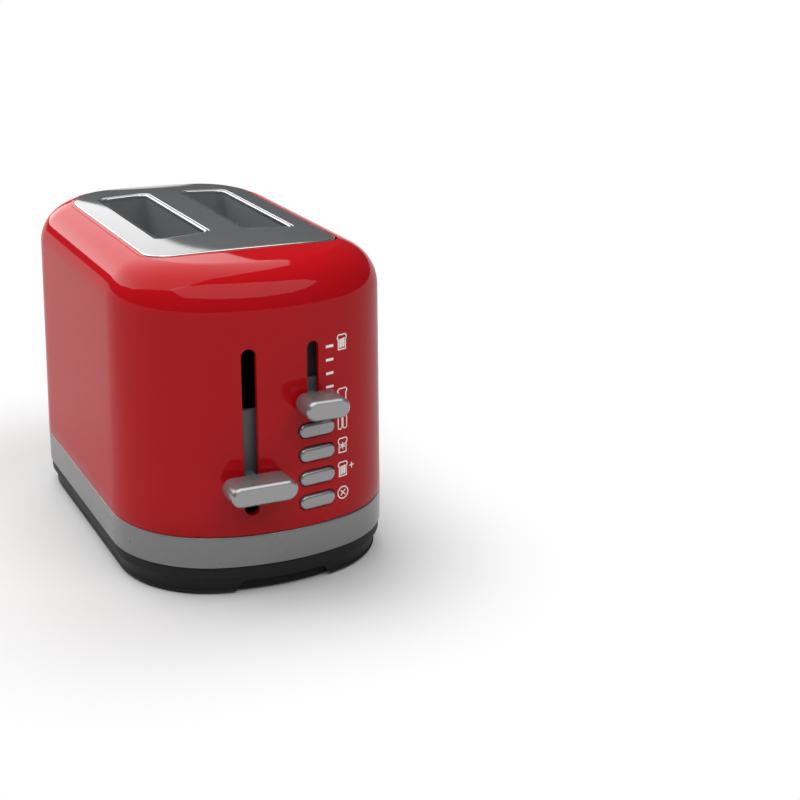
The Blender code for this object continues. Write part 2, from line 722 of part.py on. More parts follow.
def shrink_to_crest(bm, row, lift):
    """Close a rim of the dome with rings that draw in towards its crest line."""
    centre_y = sum(vert.co.y for vert in row) / len(row)
    last = row
    for share in DOME_RING_SHARES:
        ring = []
        for vert in row:
            x = vert.co.x * share
            y = centre_y + (vert.co.y - centre_y) * share
            ring.append(bm.verts.new((x, y, dome(x, y) + lift)))
        for index in range(len(row)):
            after = (index + 1) % len(row)
            bm.faces.new((last[index], last[after], ring[after], ring[index]))
        last = ring
    crest = bm.verts.new((0, centre_y, dome(0, centre_y) + lift))
    for index in range(len(last)):
        bm.faces.new((last[index], last[(index + 1) % len(last)], crest))


def build_well(number, side, finish):
    """Bread well: a square chute with a rounded rim, a flange and a slot for the lift's arm."""
    x = side * SLOT_X

    def plan(inset):
        ring = rounded_ring(SLOT_WIDTH - 2 * inset, SLOT_LENGTH - 2 * inset, SLOT_CORNER - inset)
        return [(x + u, SLOT_Y + v) for u, v in ring]

    outer = SEAT_GAP
    inner = SEAT_GAP + WELL_WALL
    flange_top = SHELL_TOP - WELL_FLANGE_DROP
    flange_bottom = flange_top - WELL_FLANGE_THICKNESS
    rim = PANEL_PROUD + WELL_RIM_PROUD
    wide = outer - WELL_FLANGE
    chute = ((inner, WELL_BOTTOM), (outer, WELL_BOTTOM), (outer, flange_bottom),
             (wide, flange_bottom), (wide, flange_top), (outer, flange_top))
    soft = WELL_RIM_ROUND * SOFT_EDGE_SHARE
    lip = ((outer, rim - WELL_RIM_EDGE), (outer + WELL_RIM_EDGE, rim),
           (inner - soft, rim - soft), (inner, rim - WELL_RIM_ROUND))
    rings = [at_height(plan(inset), z) for inset, z in chute]
    rings += [on_dome(plan(inset), lift) for inset, lift in lip]
    well = solid(f"bread_well_{number}", rings, looped=True)
    cut(well, "arm_slot", [arm_slot(x, WELL_FRONT, WELL_FRONT + WELL_WALL)])
    return shade(well, finish)


def arm_slot(x, front, back):
    """Rings of the slot that lets the carriage's arm through a wall between front and back."""
    return box((x - ARM_SLOT_WIDTH / 2, front - OVERRUN, WELL_BOTTOM - OVERRUN),
               (x + ARM_SLOT_WIDTH / 2, back + OVERRUN, ARM_SLOT_TOP))


def build_chassis(finish):
    """Chassis: upright plate in front of the wells with a foot and a lug that holds the rods."""
    half = CHASSIS_WIDTH / 2
    foot_top = FLOOR_TOP + SEAT_GAP + CHASSIS_THICKNESS
    chassis = solid("chassis", box((-half, CHASSIS_FRONT, FLOOR_TOP + SEAT_GAP),
                                   (half, CHASSIS_BACK, CHASSIS_TOP)))
    add(chassis, "foot", [box((-half, CHASSIS_BACK - CHASSIS_THICKNESS / 2, FLOOR_TOP + SEAT_GAP),
                              (half, CHASSIS_BACK + CHASSIS_FOOT, foot_top))])
    lug_front = CARRIAGE_Y - ROD_SOCKET_RADIUS
    add(chassis, "lug", [box((-LUG_WIDTH / 2, lug_front, CHASSIS_TOP - LUG_THICKNESS),
                             (LUG_WIDTH / 2, CHASSIS_FRONT + CHASSIS_THICKNESS / 2, CHASSIS_TOP))])
    cut(chassis, "arm_slots", [arm_slot(side * SLOT_X, CHASSIS_FRONT, CHASSIS_BACK) for side in (-1, 1)])
    cut(chassis, "rod_holes", [post(x, y, ROD_RADIUS + SEAT_GAP, CHASSIS_TOP - LUG_THICKNESS - OVERRUN,
                                    CHASSIS_TOP + OVERRUN) for x, y in rod_places()])
    return shade(chassis, finish)


def build_rods(finish):
    """Two steel guide rods between the base and the chassis lug."""
    low = FLOOR_TOP + ROD_SOCKET_FLOOR + SEAT_GAP
    return [shade(solid(f"guide_rod_{number}", post(x, y, ROD_RADIUS, low, ROD_TOP)), finish)
            for number, (x, y) in enumerate(rod_places(), 1)]


def coil_points(radius, turns, low, high):
    """Points along a coil about zero that climbs at a steady rate."""
    heights = spread(low, high, turns * COIL_STEPS)
    angles = [2 * math.pi * index / COIL_STEPS for index in range(len(heights))]
    return [(radius * math.cos(angle), radius * math.sin(angle), z) for angle, z in zip(angles, heights)]


def wire(name, points, radius):
    """Round wire along a path, as a filled curve."""
    curve = bpy.data.curves.new(name, 'CURVE')
    curve.dimensions = '3D'
    curve.bevel_depth = radius
    curve.bevel_resolution = WIRE_RESOLUTION
    curve.use_fill_caps = True
    spline = curve.splines.new('POLY')
    spline.points.add(len(points) - 1)
    for target, point in zip(spline.points, points):
        target.co = (*point, 1.0)
    made = bpy.data.objects.new(name, curve)
    bpy.context.scene.collection.objects.link(made)
    return made


def build_lift_spring(finish):
    """Pop-up spring that draws the carriage to the chassis lug."""
    low = BLOCK_TOP + SEAT_GAP + SPRING_WIRE
    high = CHASSIS_TOP - LUG_THICKNESS - SEAT_GAP - SPRING_WIRE
    points = coil_points(SPRING_RADIUS, SPRING_TURNS, low, high)
    spring = wire("lift_spring", [(x, y + CARRIAGE_Y, z) for x, y, z in points], SPRING_WIRE)
    spring.data.materials.append(finish)
    return spring


def build_carriage(finish):
    """Carriage: block on the rods, a bar, an arm into each well, the lever's arm and the rack."""
    half = CARRIAGE_BLOCK_WIDTH / 2
    carriage = solid("carriage", box((-half, CARRIAGE_FRONT, CARRIAGE_BOTTOM),
                                     (half, CARRIAGE_BACK, BLOCK_TOP)))
    bar_back = CHASSIS_FRONT - RUNNING_GAP - SEAT_GAP
    reach = SLOT_X + CARRIAGE_ARM / 2
    add(carriage, "bar", [box((-reach, CARRIAGE_BACK - CARRIAGE_ARM, CARRIAGE_BOTTOM),
                              (reach, bar_back, BAR_TOP))])
    add(carriage, "arms", [box((x - CARRIAGE_ARM / 2, bar_back - CARRIAGE_ARM / 2, CARRIAGE_BOTTOM),
                               (x + CARRIAGE_ARM / 2, lift_front() - SEAT_GAP, BAR_TOP))
                           for x in (-SLOT_X, SLOT_X)])
    arm_bottom = LEVER_Z - CARRIAGE_BAR_HEIGHT
    add(carriage, "lever_arm", [box((LEVER_SLOT_X - CARRIAGE_ARM / 2, stem_back() + SEAT_GAP, arm_bottom),
                                    (LEVER_SLOT_X + CARRIAGE_ARM, CARRIAGE_Y, LEVER_Z))])
    add(carriage, "rack", [rack_rings()])
    cut(carriage, "bushes", [post(x, y, ROD_RADIUS + RUNNING_GAP, CARRIAGE_BOTTOM - OVERRUN,
                                  BLOCK_TOP + OVERRUN) for x, y in rod_places()])
    return shade(carriage, finish)


def stem_back():
    """Y of the back face of the lever stem's shutter."""
    return wall_y(LEVER_SLOT_X, BAND_TOP, SHUTTER_SETBACK + SHUTTER_THICKNESS + SHUTTER_CROWN)


def lift_front():
    """Y of the front end of the bread lifts, just inside the wells."""
    return WELL_FRONT + WELL_WALL + CARRIAGE_ARM


def rack_pitch_y():
    """Y of the rack's pitch line, in front of the carriage block."""
    return CARRIAGE_FRONT - RACK_BACK


def rack_side():
    """X of the rack's right side, near the right end of the block."""
    return CARRIAGE_BLOCK_WIDTH / 2 - RACK_SETBACK


def rack_rings():
    """Rings of the toothed rack on the front of the block, with its teeth towards the pinion."""
    pitch_y = rack_pitch_y()
    half_tooth = TOOTH_PITCH / 4 - BACKLASH / 2
    root = GEAR_MODULE + BACKLASH
    flare = root * math.tan(PRESSURE_ANGLE)
    taper = GEAR_MODULE * math.tan(PRESSURE_ANGLE)
    outline = []
    for index in range(RACK_TOOTH_COUNT):
        centre = PINION_Z + (index - RACK_TOOTH_COUNT + RACK_LEAD_TEETH) * TOOTH_PITCH
        outline += [(pitch_y + root, centre - half_tooth - flare),
                    (pitch_y - GEAR_MODULE, centre - half_tooth + taper),
                    (pitch_y - GEAR_MODULE, centre + half_tooth - taper),
                    (pitch_y + root, centre + half_tooth + flare)]
    back = CARRIAGE_FRONT + GEAR_MODULE
    outline += [(back, outline[-1][1]), (back, outline[0][1])]
    return [[(x, y, z) for y, z in outline] for x in (rack_side() - RACK_WIDTH, rack_side())]


def build_lift(number, side, finish):
    """Bread lift: a long bar with cross fingers that the slice stands on."""
    x = side * SLOT_X
    low = CARRIAGE_BOTTOM
    back = SLOT_Y + SLOT_LENGTH / 2 - SEAT_GAP - WELL_WALL - RUNNING_GAP - LIFT_THICKNESS
    lift = solid(f"bread_lift_{number}", box((x - LIFT_THICKNESS / 2, lift_front(), low),
                                             (x + LIFT_THICKNESS / 2, back, low + LIFT_HEIGHT)))
    pitch = (back - lift_front() - LIFT_FINGER_LENGTH) / (LIFT_FINGERS - 1)
    fingers = []
    for index in range(LIFT_FINGERS):
        start = lift_front() + index * pitch
        fingers.append(box((x - LIFT_FINGER_WIDTH / 2, start, low + LIFT_HEIGHT - LIFT_THICKNESS),
                           (x + LIFT_FINGER_WIDTH / 2, start + LIFT_FINGER_LENGTH,
                            low + LIFT_HEIGHT + LIFT_THICKNESS)))
    add(lift, "fingers", fingers)
    return shade(lift, finish)


def build_lever_stem(finish):
    """Lever stem: a crowned shutter behind the slot and the neck that carries the knob."""
    steps = spread(-SHUTTER_WIDTH / 2, SHUTTER_WIDTH / 2, END_STEPS)
    face = wall_y(LEVER_SLOT_X, BAND_TOP, SHUTTER_SETBACK + SHUTTER_CROWN)
    crown = [(LEVER_SLOT_X + u, face - SHUTTER_CROWN * (1 - (2 * u / SHUTTER_WIDTH) ** 2))
             for u in steps]
    plan = crown + [(crown[-1][0], stem_back()), (crown[0][0], stem_back())]
    stem = solid("lever_stem", [at_height(plan, SHUTTER_BOTTOM), at_height(plan, SHUTTER_TOP)])
    neck = neck_rings(LEVER_SLOT_X, LEVER_Z, LEVER_NECK_WIDTH, NECK_HEIGHT, face)
    add(stem, "neck", [neck])
    return shade(stem, finish)


def knob_face():
    """Y of the front face of both knobs."""
    return -BODY_LENGTH / 2 - KNOB_REACH


def neck_rings(x, z, width, height, back):
    """Rings of a neck from behind the wall to the bottom of the knob's socket."""
    front = knob_face() + LEVER_KNOB_DEPTH - KNOB_WELL + SEAT_GAP
    ring = rounded_ring(width, height, width * NECK_ROUND_SHARE, NECK_STEPS)
    return [across(ring, back, x, z), across(ring, front, x, z)]


def build_knob(name, x, z, width, height, neck_width, neck_height, finish):
    """Pull knob: a flat-sided bar with round ends, a chamfered face and a socket for its neck."""
    front = knob_face()
    back = front + LEVER_KNOB_DEPTH
    profile = ((0, back), (0, front + KNOB_CHAMFER), (KNOB_CHAMFER, front))
    rings = [across(stadium(width - 2 * inset, height - 2 * inset), y, x, z) for inset, y in profile]
    knob = solid(name, rings)
    socket = rounded_ring(neck_width + 2 * SEAT_GAP, neck_height + 2 * SEAT_GAP,
                          neck_width * NECK_ROUND_SHARE + SEAT_GAP, NECK_STEPS)
    cut(knob, "socket", [[across(socket, back + OVERRUN, x, z), across(socket, back - KNOB_WELL, x, z)]])
    return shade(knob, finish)


def build_browning(knob_finish, slider_finish):
    """Browning control: a slider behind the wall and its knob."""
    ring = rounded_ring(SLIDER_WIDTH, SLIDER_HEIGHT, SLIDER_THICKNESS)
    highest = BROWNING_Z + BROWNING_TRAVEL + SLIDER_HEIGHT
    front = wall_y(BROWNING_SLOT_X + SLIDER_WIDTH / 2, highest, SHELL_WALL + SEAT_GAP)
    slider = solid("browning_slider", [across(ring, y, BROWNING_SLOT_X, BROWNING_Z)
                                       for y in (front + SLIDER_THICKNESS, front)])
    add(slider, "neck", [neck_rings(BROWNING_SLOT_X, BROWNING_Z, BROWNING_NECK_WIDTH, SLIDER_NECK_HEIGHT,
                                    front + SLIDER_THICKNESS / 2)])
    shade(slider, slider_finish)
    knob = build_knob("browning_knob", BROWNING_SLOT_X, BROWNING_Z, BROWNING_KNOB_WIDTH,
                      BROWNING_KNOB_HEIGHT, BROWNING_NECK_WIDTH, SLIDER_NECK_HEIGHT, knob_finish)
    return slider, knob


def build_button(number, z, finish):
    """Function button: a domed cap that follows the bowed wall, a flange behind it and a stem."""
    def ring(inset, depth):
        return bowed(stadium(BUTTON_WIDTH - 2 * inset, BUTTON_HEIGHT - 2 * inset), BUTTON_X, z, depth)

    back = SHELL_WALL + SEAT_GAP
    flange_end = back + BUTTON_FLANGE_THICKNESS
    soft = BUTTON_EDGE * SOFT_EDGE_SHARE
    rings = [ring(-BUTTON_FLANGE, flange_end), ring(-BUTTON_FLANGE, back), ring(0, back),
             ring(0, BUTTON_EDGE - BUTTON_PROUD), ring(soft, soft - BUTTON_PROUD),
             ring(BUTTON_EDGE, -BUTTON_PROUD)]
    button = solid(f"button_{number}", rings)
    stem_front = wall_y(BUTTON_X, z, back + BUTTON_FLANGE_THICKNESS / 2)
    add(button, "stem", [pin(BUTTON_X, z, BUTTON_STEM_RADIUS, stem_front,
                             frame_front() + FRAME_THICKNESS, SCREW_STEPS)])
    return shade(button, finish)


def build_button_spring(number, z, finish):
    """Coil spring round a button's stem, between the flange and the control frame."""
    front = wall_y(BUTTON_X + BUTTON_SPRING_RADIUS + BUTTON_SPRING_WIRE, z,
                   SHELL_WALL + SEAT_GAP + BUTTON_FLANGE_THICKNESS)
    low = front + SEAT_GAP + BUTTON_SPRING_WIRE
    high = frame_front() - SEAT_GAP - BUTTON_SPRING_WIRE
    points = coil_points(BUTTON_SPRING_RADIUS, BUTTON_SPRING_TURNS, low, high)
    spring = wire(f"button_spring_{number}", [(BUTTON_X + a, along, z + b) for a, b, along in points],
                  BUTTON_SPRING_WIRE)
    spring.data.materials.append(finish)
    return spring


def build_control_frame(finish):
    """Plate behind the buttons that their springs push on and that backs the browning slider."""
    front = frame_front() + SEAT_GAP / 2
    (left, _), (right, _) = frame_peg_places()
    width = right - left + 2 * FRAME_PEG_RADIUS
    top = BROWNING_SLOT_TOP + SLIDER_HEIGHT / 2
    bottom = button_heights()[-1] - BUTTON_HEIGHT / 2
    ring = rounded_ring(width, top - bottom, FRAME_MARGIN)
    middle = (top + bottom) / 2
    frame = solid("control_frame", [across(ring, front + FRAME_THICKNESS, BUTTON_X, middle),
                                    across(ring, front, BUTTON_X, middle)])
    holes = [pin(BUTTON_X, z, BUTTON_STEM_RADIUS + RUNNING_GAP, front - OVERRUN,
                 front + FRAME_THICKNESS + OVERRUN) for z in button_heights()]
    holes += [pin(x, z, FRAME_SCREW_RADIUS + SEAT_GAP, front - OVERRUN,
                  front + FRAME_THICKNESS + OVERRUN) for x, z in frame_peg_places()]
    cut(frame, "holes", holes)
    return shade(frame, finish)


def build_frame_screws(finish):
    """Two small screws that hold the control frame."""
    seat = frame_front() + SEAT_GAP / 2 + FRAME_THICKNESS + SEAT_GAP
    screws = []
    for number, (x, z) in enumerate(frame_peg_places(), 1):
        def place(ring, depth, x=x, z=z):
            return [(x + u, seat + FRAME_SCREW_HEAD_HEIGHT - depth, z + v) for u, v in ring]
        rings = screw_rings(place, FRAME_SCREW_RADIUS, FRAME_SCREW_HEAD, FRAME_SCREW_HEAD_HEIGHT,
                            FRAME_SCREW_GRIP, SCREW_STEPS)
        screws.append(shade(solid(f"frame_screw_{number}", rings), finish))
    return screws


def pinion_y():
    """Y of the pinion's axis, one pitch radius from the rack's pitch line."""
    return rack_pitch_y() - PITCH_RADIUS


def involute_half_angle(radius):
    """Half the angle that a pinion tooth fills at a radius."""
    base_radius = PITCH_RADIUS * math.cos(PRESSURE_ANGLE)
    here = math.acos(min(1.0, base_radius / radius))
    at_pitch = (TOOTH_PITCH / 2 - BACKLASH) / (2 * PITCH_RADIUS)
    return at_pitch + (math.tan(PRESSURE_ANGLE) - PRESSURE_ANGLE) - (math.tan(here) - here)


def pinion_outline():
    """Involute outline of the pinion, with one tooth space facing the rack at rest."""
    base_radius = PITCH_RADIUS * math.cos(PRESSURE_ANGLE)
    root = PITCH_RADIUS - GEAR_MODULE * ROOT_SHARE
    tip = PITCH_RADIUS + GEAR_MODULE
    radii = spread(base_radius, tip, FLANK_STEPS)
    outline = []
    for tooth in range(PINION_TEETH):
        centre = 2 * math.pi * tooth / PINION_TEETH
        rise = [(root, -involute_half_angle(base_radius))]
        rise += [(radius, -involute_half_angle(radius)) for radius in radii]
        for radius, angle in rise + [(radius, -angle) for radius, angle in reversed(rise)]:
            outline.append((radius * math.cos(centre + angle), radius * math.sin(centre + angle)))
    return outline


def along_x(ring, x, y, z):
    """Outline drawn in depth and height, stood up square to the X axis."""
    return [(x, y + u, z + v) for u, v in ring]


def build_timer(case_finish, pinion_finish):
    """Clockwork timer: a closed case fixed to the chassis, and the pinion on its shaft."""
    y = pinion_y()
    left = SLOT_X + CARRIAGE_ARM / 2 + RUNNING_GAP + SEAT_GAP
    back = CHASSIS_FRONT - SEAT_GAP
    depth = back - (y - TIMER_NOSE)
    right = BODY_WIDTH / 2 - TIMER_SIDE_SETBACK
    profile = ((TIMER_EDGE / 2, left), (0, left + TIMER_EDGE / 2), (0, right))
    rings = [along_x(rounded_ring(depth - 2 * inset, TIMER_HEIGHT - 2 * inset, TIMER_EDGE - inset),
                     x, back - depth / 2, PINION_Z) for inset, x in profile]
    case = solid("timer_case", rings)
    hole = circle(TIMER_SHAFT_RADIUS + RUNNING_GAP)
    cut(case, "bearing", [[along_x(hole, x, y, PINION_Z)
                           for x in (left - OVERRUN, left + TIMER_BEARING_DEPTH)]])
    shade(case, case_finish)
    outline = pinion_outline()
    pinion = solid("timer_pinion", [along_x(outline, x, y, PINION_Z)
                                    for x in (rack_side() - RACK_WIDTH, rack_side())])
    shaft = circle(TIMER_SHAFT_RADIUS)
    add(pinion, "shaft", [[along_x(shaft, x, y, PINION_Z)
                           for x in (rack_side() - RACK_WIDTH - GEAR_MODULE,
                                     left + TIMER_BEARING_DEPTH - SEAT_GAP)]])
    shade(pinion, pinion_finish)
    return case, pinion


def build_all():
    """Every piece of the toy, in its finish."""
    red = material("red_gloss_plastic", (0.42, 0.008, 0.012), 0.12)
    satin = material("satin_metal_look", (0.33, 0.33, 0.34), 0.32, 0.8)
    black = material("black_plastic", (0.018, 0.018, 0.02), 0.45)
    grey = material("grey_plastic", (0.2, 0.2, 0.21), 0.5)
    steel = material("bright_steel", (0.62, 0.62, 0.63), 0.25, 1.0)
    rubber = material("rubber", (0.02, 0.02, 0.02), 0.8)
    natural = material("natural_plastic", (0.75, 0.74, 0.7), 0.45)
    pieces = [build_shell(red), build_band(satin), build_base(black), build_panel(satin),
              build_chassis(black), build_lift_spring(steel), build_carriage(black),
              build_lever_stem(grey), build_control_frame(grey)]
    pieces += build_base_screws(steel)
    pieces += build_frame_screws(steel)
    pieces += build_feet(rubber)
    pieces += build_rods(steel)
    for number, side in ((1, -1), (2, 1)):
        pieces.append(build_well(number, side, satin))
        pieces.append(build_lift(number, side, steel))
    pieces.append(build_knob("lever_knob", LEVER_SLOT_X, LEVER_Z, LEVER_KNOB_WIDTH, LEVER_KNOB_HEIGHT,
                             LEVER_NECK_WIDTH, NECK_HEIGHT, satin))
    pieces += build_browning(satin, grey)
    for number, z in enumerate(button_heights(), 1):
        pieces.append(build_button(number, z, satin))
        pieces.append(build_button_spring(number, z, steel))
    pieces += build_timer(grey, natural)
    return pieces


def empty(name, place):
    """Empty that stands for a joint's axis or for the whole toy."""
    made = bpy.data.objects.new(name, None)
    made.location = place
    bpy.context.scene.collection.objects.link(made)
    return made


def hang(names, holder):
    """Parent named objects, and the helpers that shape them, to an empty, where they stand."""
    for item in bpy.context.scene.collection.objects:
        if any(item.name == name or item.name.startswith(name + "_") for name in names):
            item.parent = holder
            item.matrix_parent_inverse = Matrix.Translation(-holder.location)


def hang_on_axes():
    """One empty on each joint's axis, with the pieces that move there."""
    hang(("carriage", "bread_lift", "lever_stem", "lever_knob"),
         empty("lever_axis", (0, CARRIAGE_Y, LEVER_Z)))
    hang(("timer_pinion",), empty("pinion_axis", (rack_side(), pinion_y(), PINION_Z)))
    hang(("browning_slider", "browning_knob"),
         empty("browning_axis", (BROWNING_SLOT_X, -BODY_LENGTH / 2, BROWNING_Z)))
    for number, z in enumerate(button_heights(), 1):
        hang((f"button_{number}",), empty(f"press_axis_{number}", (BUTTON_X, -BODY_LENGTH / 2, z)))


def centre_on_origin():
    """Move the toy so that the middle of its length, knobs included, is over the origin."""
    toy = empty("toaster", (0, 0, 0))
    for item in bpy.context.scene.collection.objects:
        if item is not toy and item.parent is None:
            item.parent = toy
    toy.location.y = KNOB_REACH / 2


def main():
    clear_scene()
    build_all()
    hang_on_axes()
    centre_on_origin()


main()
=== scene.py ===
"""Looks of the toy pop-up toaster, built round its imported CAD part.

Laid out as an add-on and run as a script. Everything is in metres, in the frame of the
CAD part: the floor is at zero height, the front faces -Y and +X is to its right.
"""

import json
import math

import bmesh
import bpy
from bpy.props import FloatProperty, FloatVectorProperty, IntProperty, PointerProperty
from mathutils import Matrix, Vector

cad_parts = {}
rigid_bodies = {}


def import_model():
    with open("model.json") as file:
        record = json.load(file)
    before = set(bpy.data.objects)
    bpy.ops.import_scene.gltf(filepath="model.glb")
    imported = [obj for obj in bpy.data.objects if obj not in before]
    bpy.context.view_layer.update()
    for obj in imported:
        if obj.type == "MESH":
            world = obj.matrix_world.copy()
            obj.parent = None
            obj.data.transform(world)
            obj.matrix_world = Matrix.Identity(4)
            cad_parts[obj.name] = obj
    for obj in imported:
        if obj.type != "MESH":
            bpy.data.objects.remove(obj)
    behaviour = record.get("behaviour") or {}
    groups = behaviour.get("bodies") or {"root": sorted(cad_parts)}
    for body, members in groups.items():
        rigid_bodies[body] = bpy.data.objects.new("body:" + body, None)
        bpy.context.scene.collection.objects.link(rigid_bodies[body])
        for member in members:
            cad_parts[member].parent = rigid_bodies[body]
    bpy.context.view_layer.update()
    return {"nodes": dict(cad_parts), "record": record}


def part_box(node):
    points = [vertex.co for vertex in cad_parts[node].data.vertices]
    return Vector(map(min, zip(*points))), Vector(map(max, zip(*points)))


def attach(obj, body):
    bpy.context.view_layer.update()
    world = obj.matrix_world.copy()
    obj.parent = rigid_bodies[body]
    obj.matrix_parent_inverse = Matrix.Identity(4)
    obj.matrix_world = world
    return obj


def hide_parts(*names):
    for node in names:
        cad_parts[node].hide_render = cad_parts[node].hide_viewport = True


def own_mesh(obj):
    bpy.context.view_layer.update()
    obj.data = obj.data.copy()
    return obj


bl_info = {
    "name": "Toy toaster looks",
    "version": (1, 0, 0),
    "blender": (4, 5, 0),
    "location": "3D View > Sidebar > Toaster",
    "description": "Builds the visible pieces of a toy toaster on its CAD part",
    "category": "Object",
}

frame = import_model()
SHELL_LOW, SHELL_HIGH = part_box("body_shell")
CENTRE_Y = (SHELL_LOW.y + SHELL_HIGH.y) / 2
KNOB_LOW, KNOB_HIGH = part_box("lever_knob")
DIAL_LOW, DIAL_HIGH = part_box("browning_knob")
GAP = 0.0003            # between pieces that touch, as in the CAD part
SHORT = 1e-7            # shorter stretches of an outline are left out
PAST = 0.001            # how far a cutter reaches past the face that it enters
LEDGE = 0.0015          # thickness of the housing's ledge under the panel
LEDGE_REACH = 0.003     # how far the ledge reaches in under the panel
CUT_DEPTH = 0.006       # depth of a cut through the front wall
SCREW_SPOT = (0.0465, 0.052)    # distance of the base's screws from its middle
FOOT_SPOT = (0.040, 0.068)      # distance of the feet from its middle


def place(name, description, default, **limits):
    """A signed place that a user may change."""
    return FloatProperty(name=name, description=description, default=default, unit='LENGTH',
                         subtype='DISTANCE', precision=4, **limits)


def length(name, description, default):
    """A size that a user may change."""
    return place(name, description, default, min=0.0)


def colour(name, description, default):
    """A colour that a user may change."""
    return FloatVectorProperty(name=name, description=description, default=default, size=3,
                               min=0.0, max=1.0, subtype='COLOR')


# Settings

class BodySettings(bpy.types.PropertyGroup):
    """Sizes and colours of the housing, the band and the base."""
    width: length("Width", "Width of the housing", SHELL_HIGH.x - SHELL_LOW.x)
    depth: length("Depth", "Length of the housing from front to back", SHELL_HIGH.y - SHELL_LOW.y)
    corner: length("Corner radius", "Radius of the plan's corners", 0.0463)
    bow: length("Bow radius", "Radius of the bowed front and back", 0.0916)
    wall: length("Wall", "Thickness of the housing's wall", 0.0022)
    shoulder: length("Shoulder radius", "Radius between wall and top", 0.018)
    draft: length("Draft", "How much the wall draws in up to the shoulder", 0.0018)
    crown: length("Crown", "Rise of the domed top", 0.0027)
    top: length("Shoulder top", "Height where the shoulder ends", 0.1363)
    band_top: length("Band top", "Height of the top of the band", 0.0268)
    band_bottom: length("Band bottom", "Height of the bottom of the band", 0.0134)
    red: colour("Red", "Colour of the housing", (0.41, 0.0045, 0.0085))
    black: colour("Black", "Colour of the base", (0.018, 0.018, 0.019))
    silver: colour("Silver", "Colour of the satin pieces", (0.30, 0.30, 0.305))


class TopSettings(bpy.types.PropertyGroup):
    """Sizes of the top panel and of the bread wells."""
    margin: length("Margin", "Distance of the panel from the sides and the back", 0.0179)
    setback: length("Setback", "Distance of the panel from the front", 0.0351)
    front_bow: length("Front bow", "Radius of the panel's front edge", 0.190)
    front_corner: length("Front corner", "Radius of the panel's front corners", 0.0115)
    thickness: length("Thickness", "Thickness of the panel", 0.0022)
    proud: length("Proud", "How far the panel stands over the housing", 0.0005)
    side_gap: length("Side gap", "Gap round the panel at its sides and back", 0.0010)
    front_gap: length("Front gap", "Gap in front of the panel", 0.0004)
    moat_edge: length("Opening edge", "Radius of the housing's edge round the panel", 0.0005)
    edge: length("Edge", "Radius of the panel's edges", 0.0008)
    bead: length("Bead", "Radius of the wells' inner rim", 0.0009)
    bead_gap: length("Bead gap", "Gap between a well's rim and the panel", 0.0006)
    slot_width: length("Slot width", "Width of a bread slot", 0.02405)
    slot_length: length("Slot length", "Length of a bread slot", 0.0912)
    slot_corner: length("Slot corner", "Corner radius of a bread slot", 0.0042)
    slot_x: place("Slot place", "Distance of each slot from the middle", 0.0192)
    slot_y: place("Slot shift", "Shift of the slots to the back of the housing's middle", 0.0102)
    well_bottom: length("Well bottom", "Height of the open bottom of the wells", 0.0290)
    panel: colour("Panel colour", "Colour of the top panel", (0.098, 0.100, 0.103))
    rim: colour("Edge colour", "Colour of the bright rounded edges", (0.46, 0.465, 0.47))


class ControlSettings(bpy.types.PropertyGroup):
    """Sizes of the lever, the browning slider and the buttons."""
    lever_x: place("Lever place", "Middle of the lever's slot", -0.0145)
    lever_slot: length("Lever slot width", "Width of the lever's slot", 0.0059)
    lever_low: length("Lever slot bottom", "Bottom of the lever's slot", 0.0359)
    lever_high: length("Lever slot top", "Top of the lever's slot", 0.1056)
    dial_x: place("Browning place", "Middle of the browning slot", 0.0127)
    dial_slot: length("Browning slot width", "Width of the browning slot", 0.0051)
    dial_low: length("Browning slot bottom", "Bottom of the browning slot", 0.0785)
    dial_high: length("Browning slot top", "Top of the browning slot", 0.1059)
    button_x: place("Button place", "Middle of the buttons", 0.0141)
    button_top: length("Top button", "Height of the top button", 0.0687)
    button_pitch: length("Button pitch", "Distance between buttons", 0.01035)
    button_count: IntProperty(name="Buttons", description="Number of buttons", default=4, min=1,
                              max=4)
    button_width: length("Button width", "Width of a button", 0.0164)
    button_height: length("Button height", "Height of a button", 0.0058)
    button_proud: length("Button proud", "How far a button stands over the wall", 0.0014)
    chamfer: length("Knob chamfer", "Bevel round the knobs' faces", 0.0009)


class MarkSettings(bpy.types.PropertyGroup):
    """Sizes of the printed marks beside the controls."""
    tick_x: place("Tick place", "Middle of the browning ticks", 0.0206)
    tick_low: length("Lowest tick", "Height of the lowest tick", 0.0797)
    tick_high: length("Highest tick", "Height of the highest tick", 0.1024)
    tick_count: IntProperty(name="Ticks", description="Number of browning ticks", default=5, min=2)
    tick_width: length("Tick width", "Width of a tick", 0.0036)
    tick_height: length("Tick height", "Height of a tick", 0.0011)
    icon_x: place("Icon place", "Middle of the icons", 0.0268)
    icon_height: length("Icon height", "Height of an icon", 0.0062)
    line: length("Line", "Width of the icons' lines", 0.00047)
    ink: colour("Ink", "Colour of the print", (0.95, 0.935, 0.93))


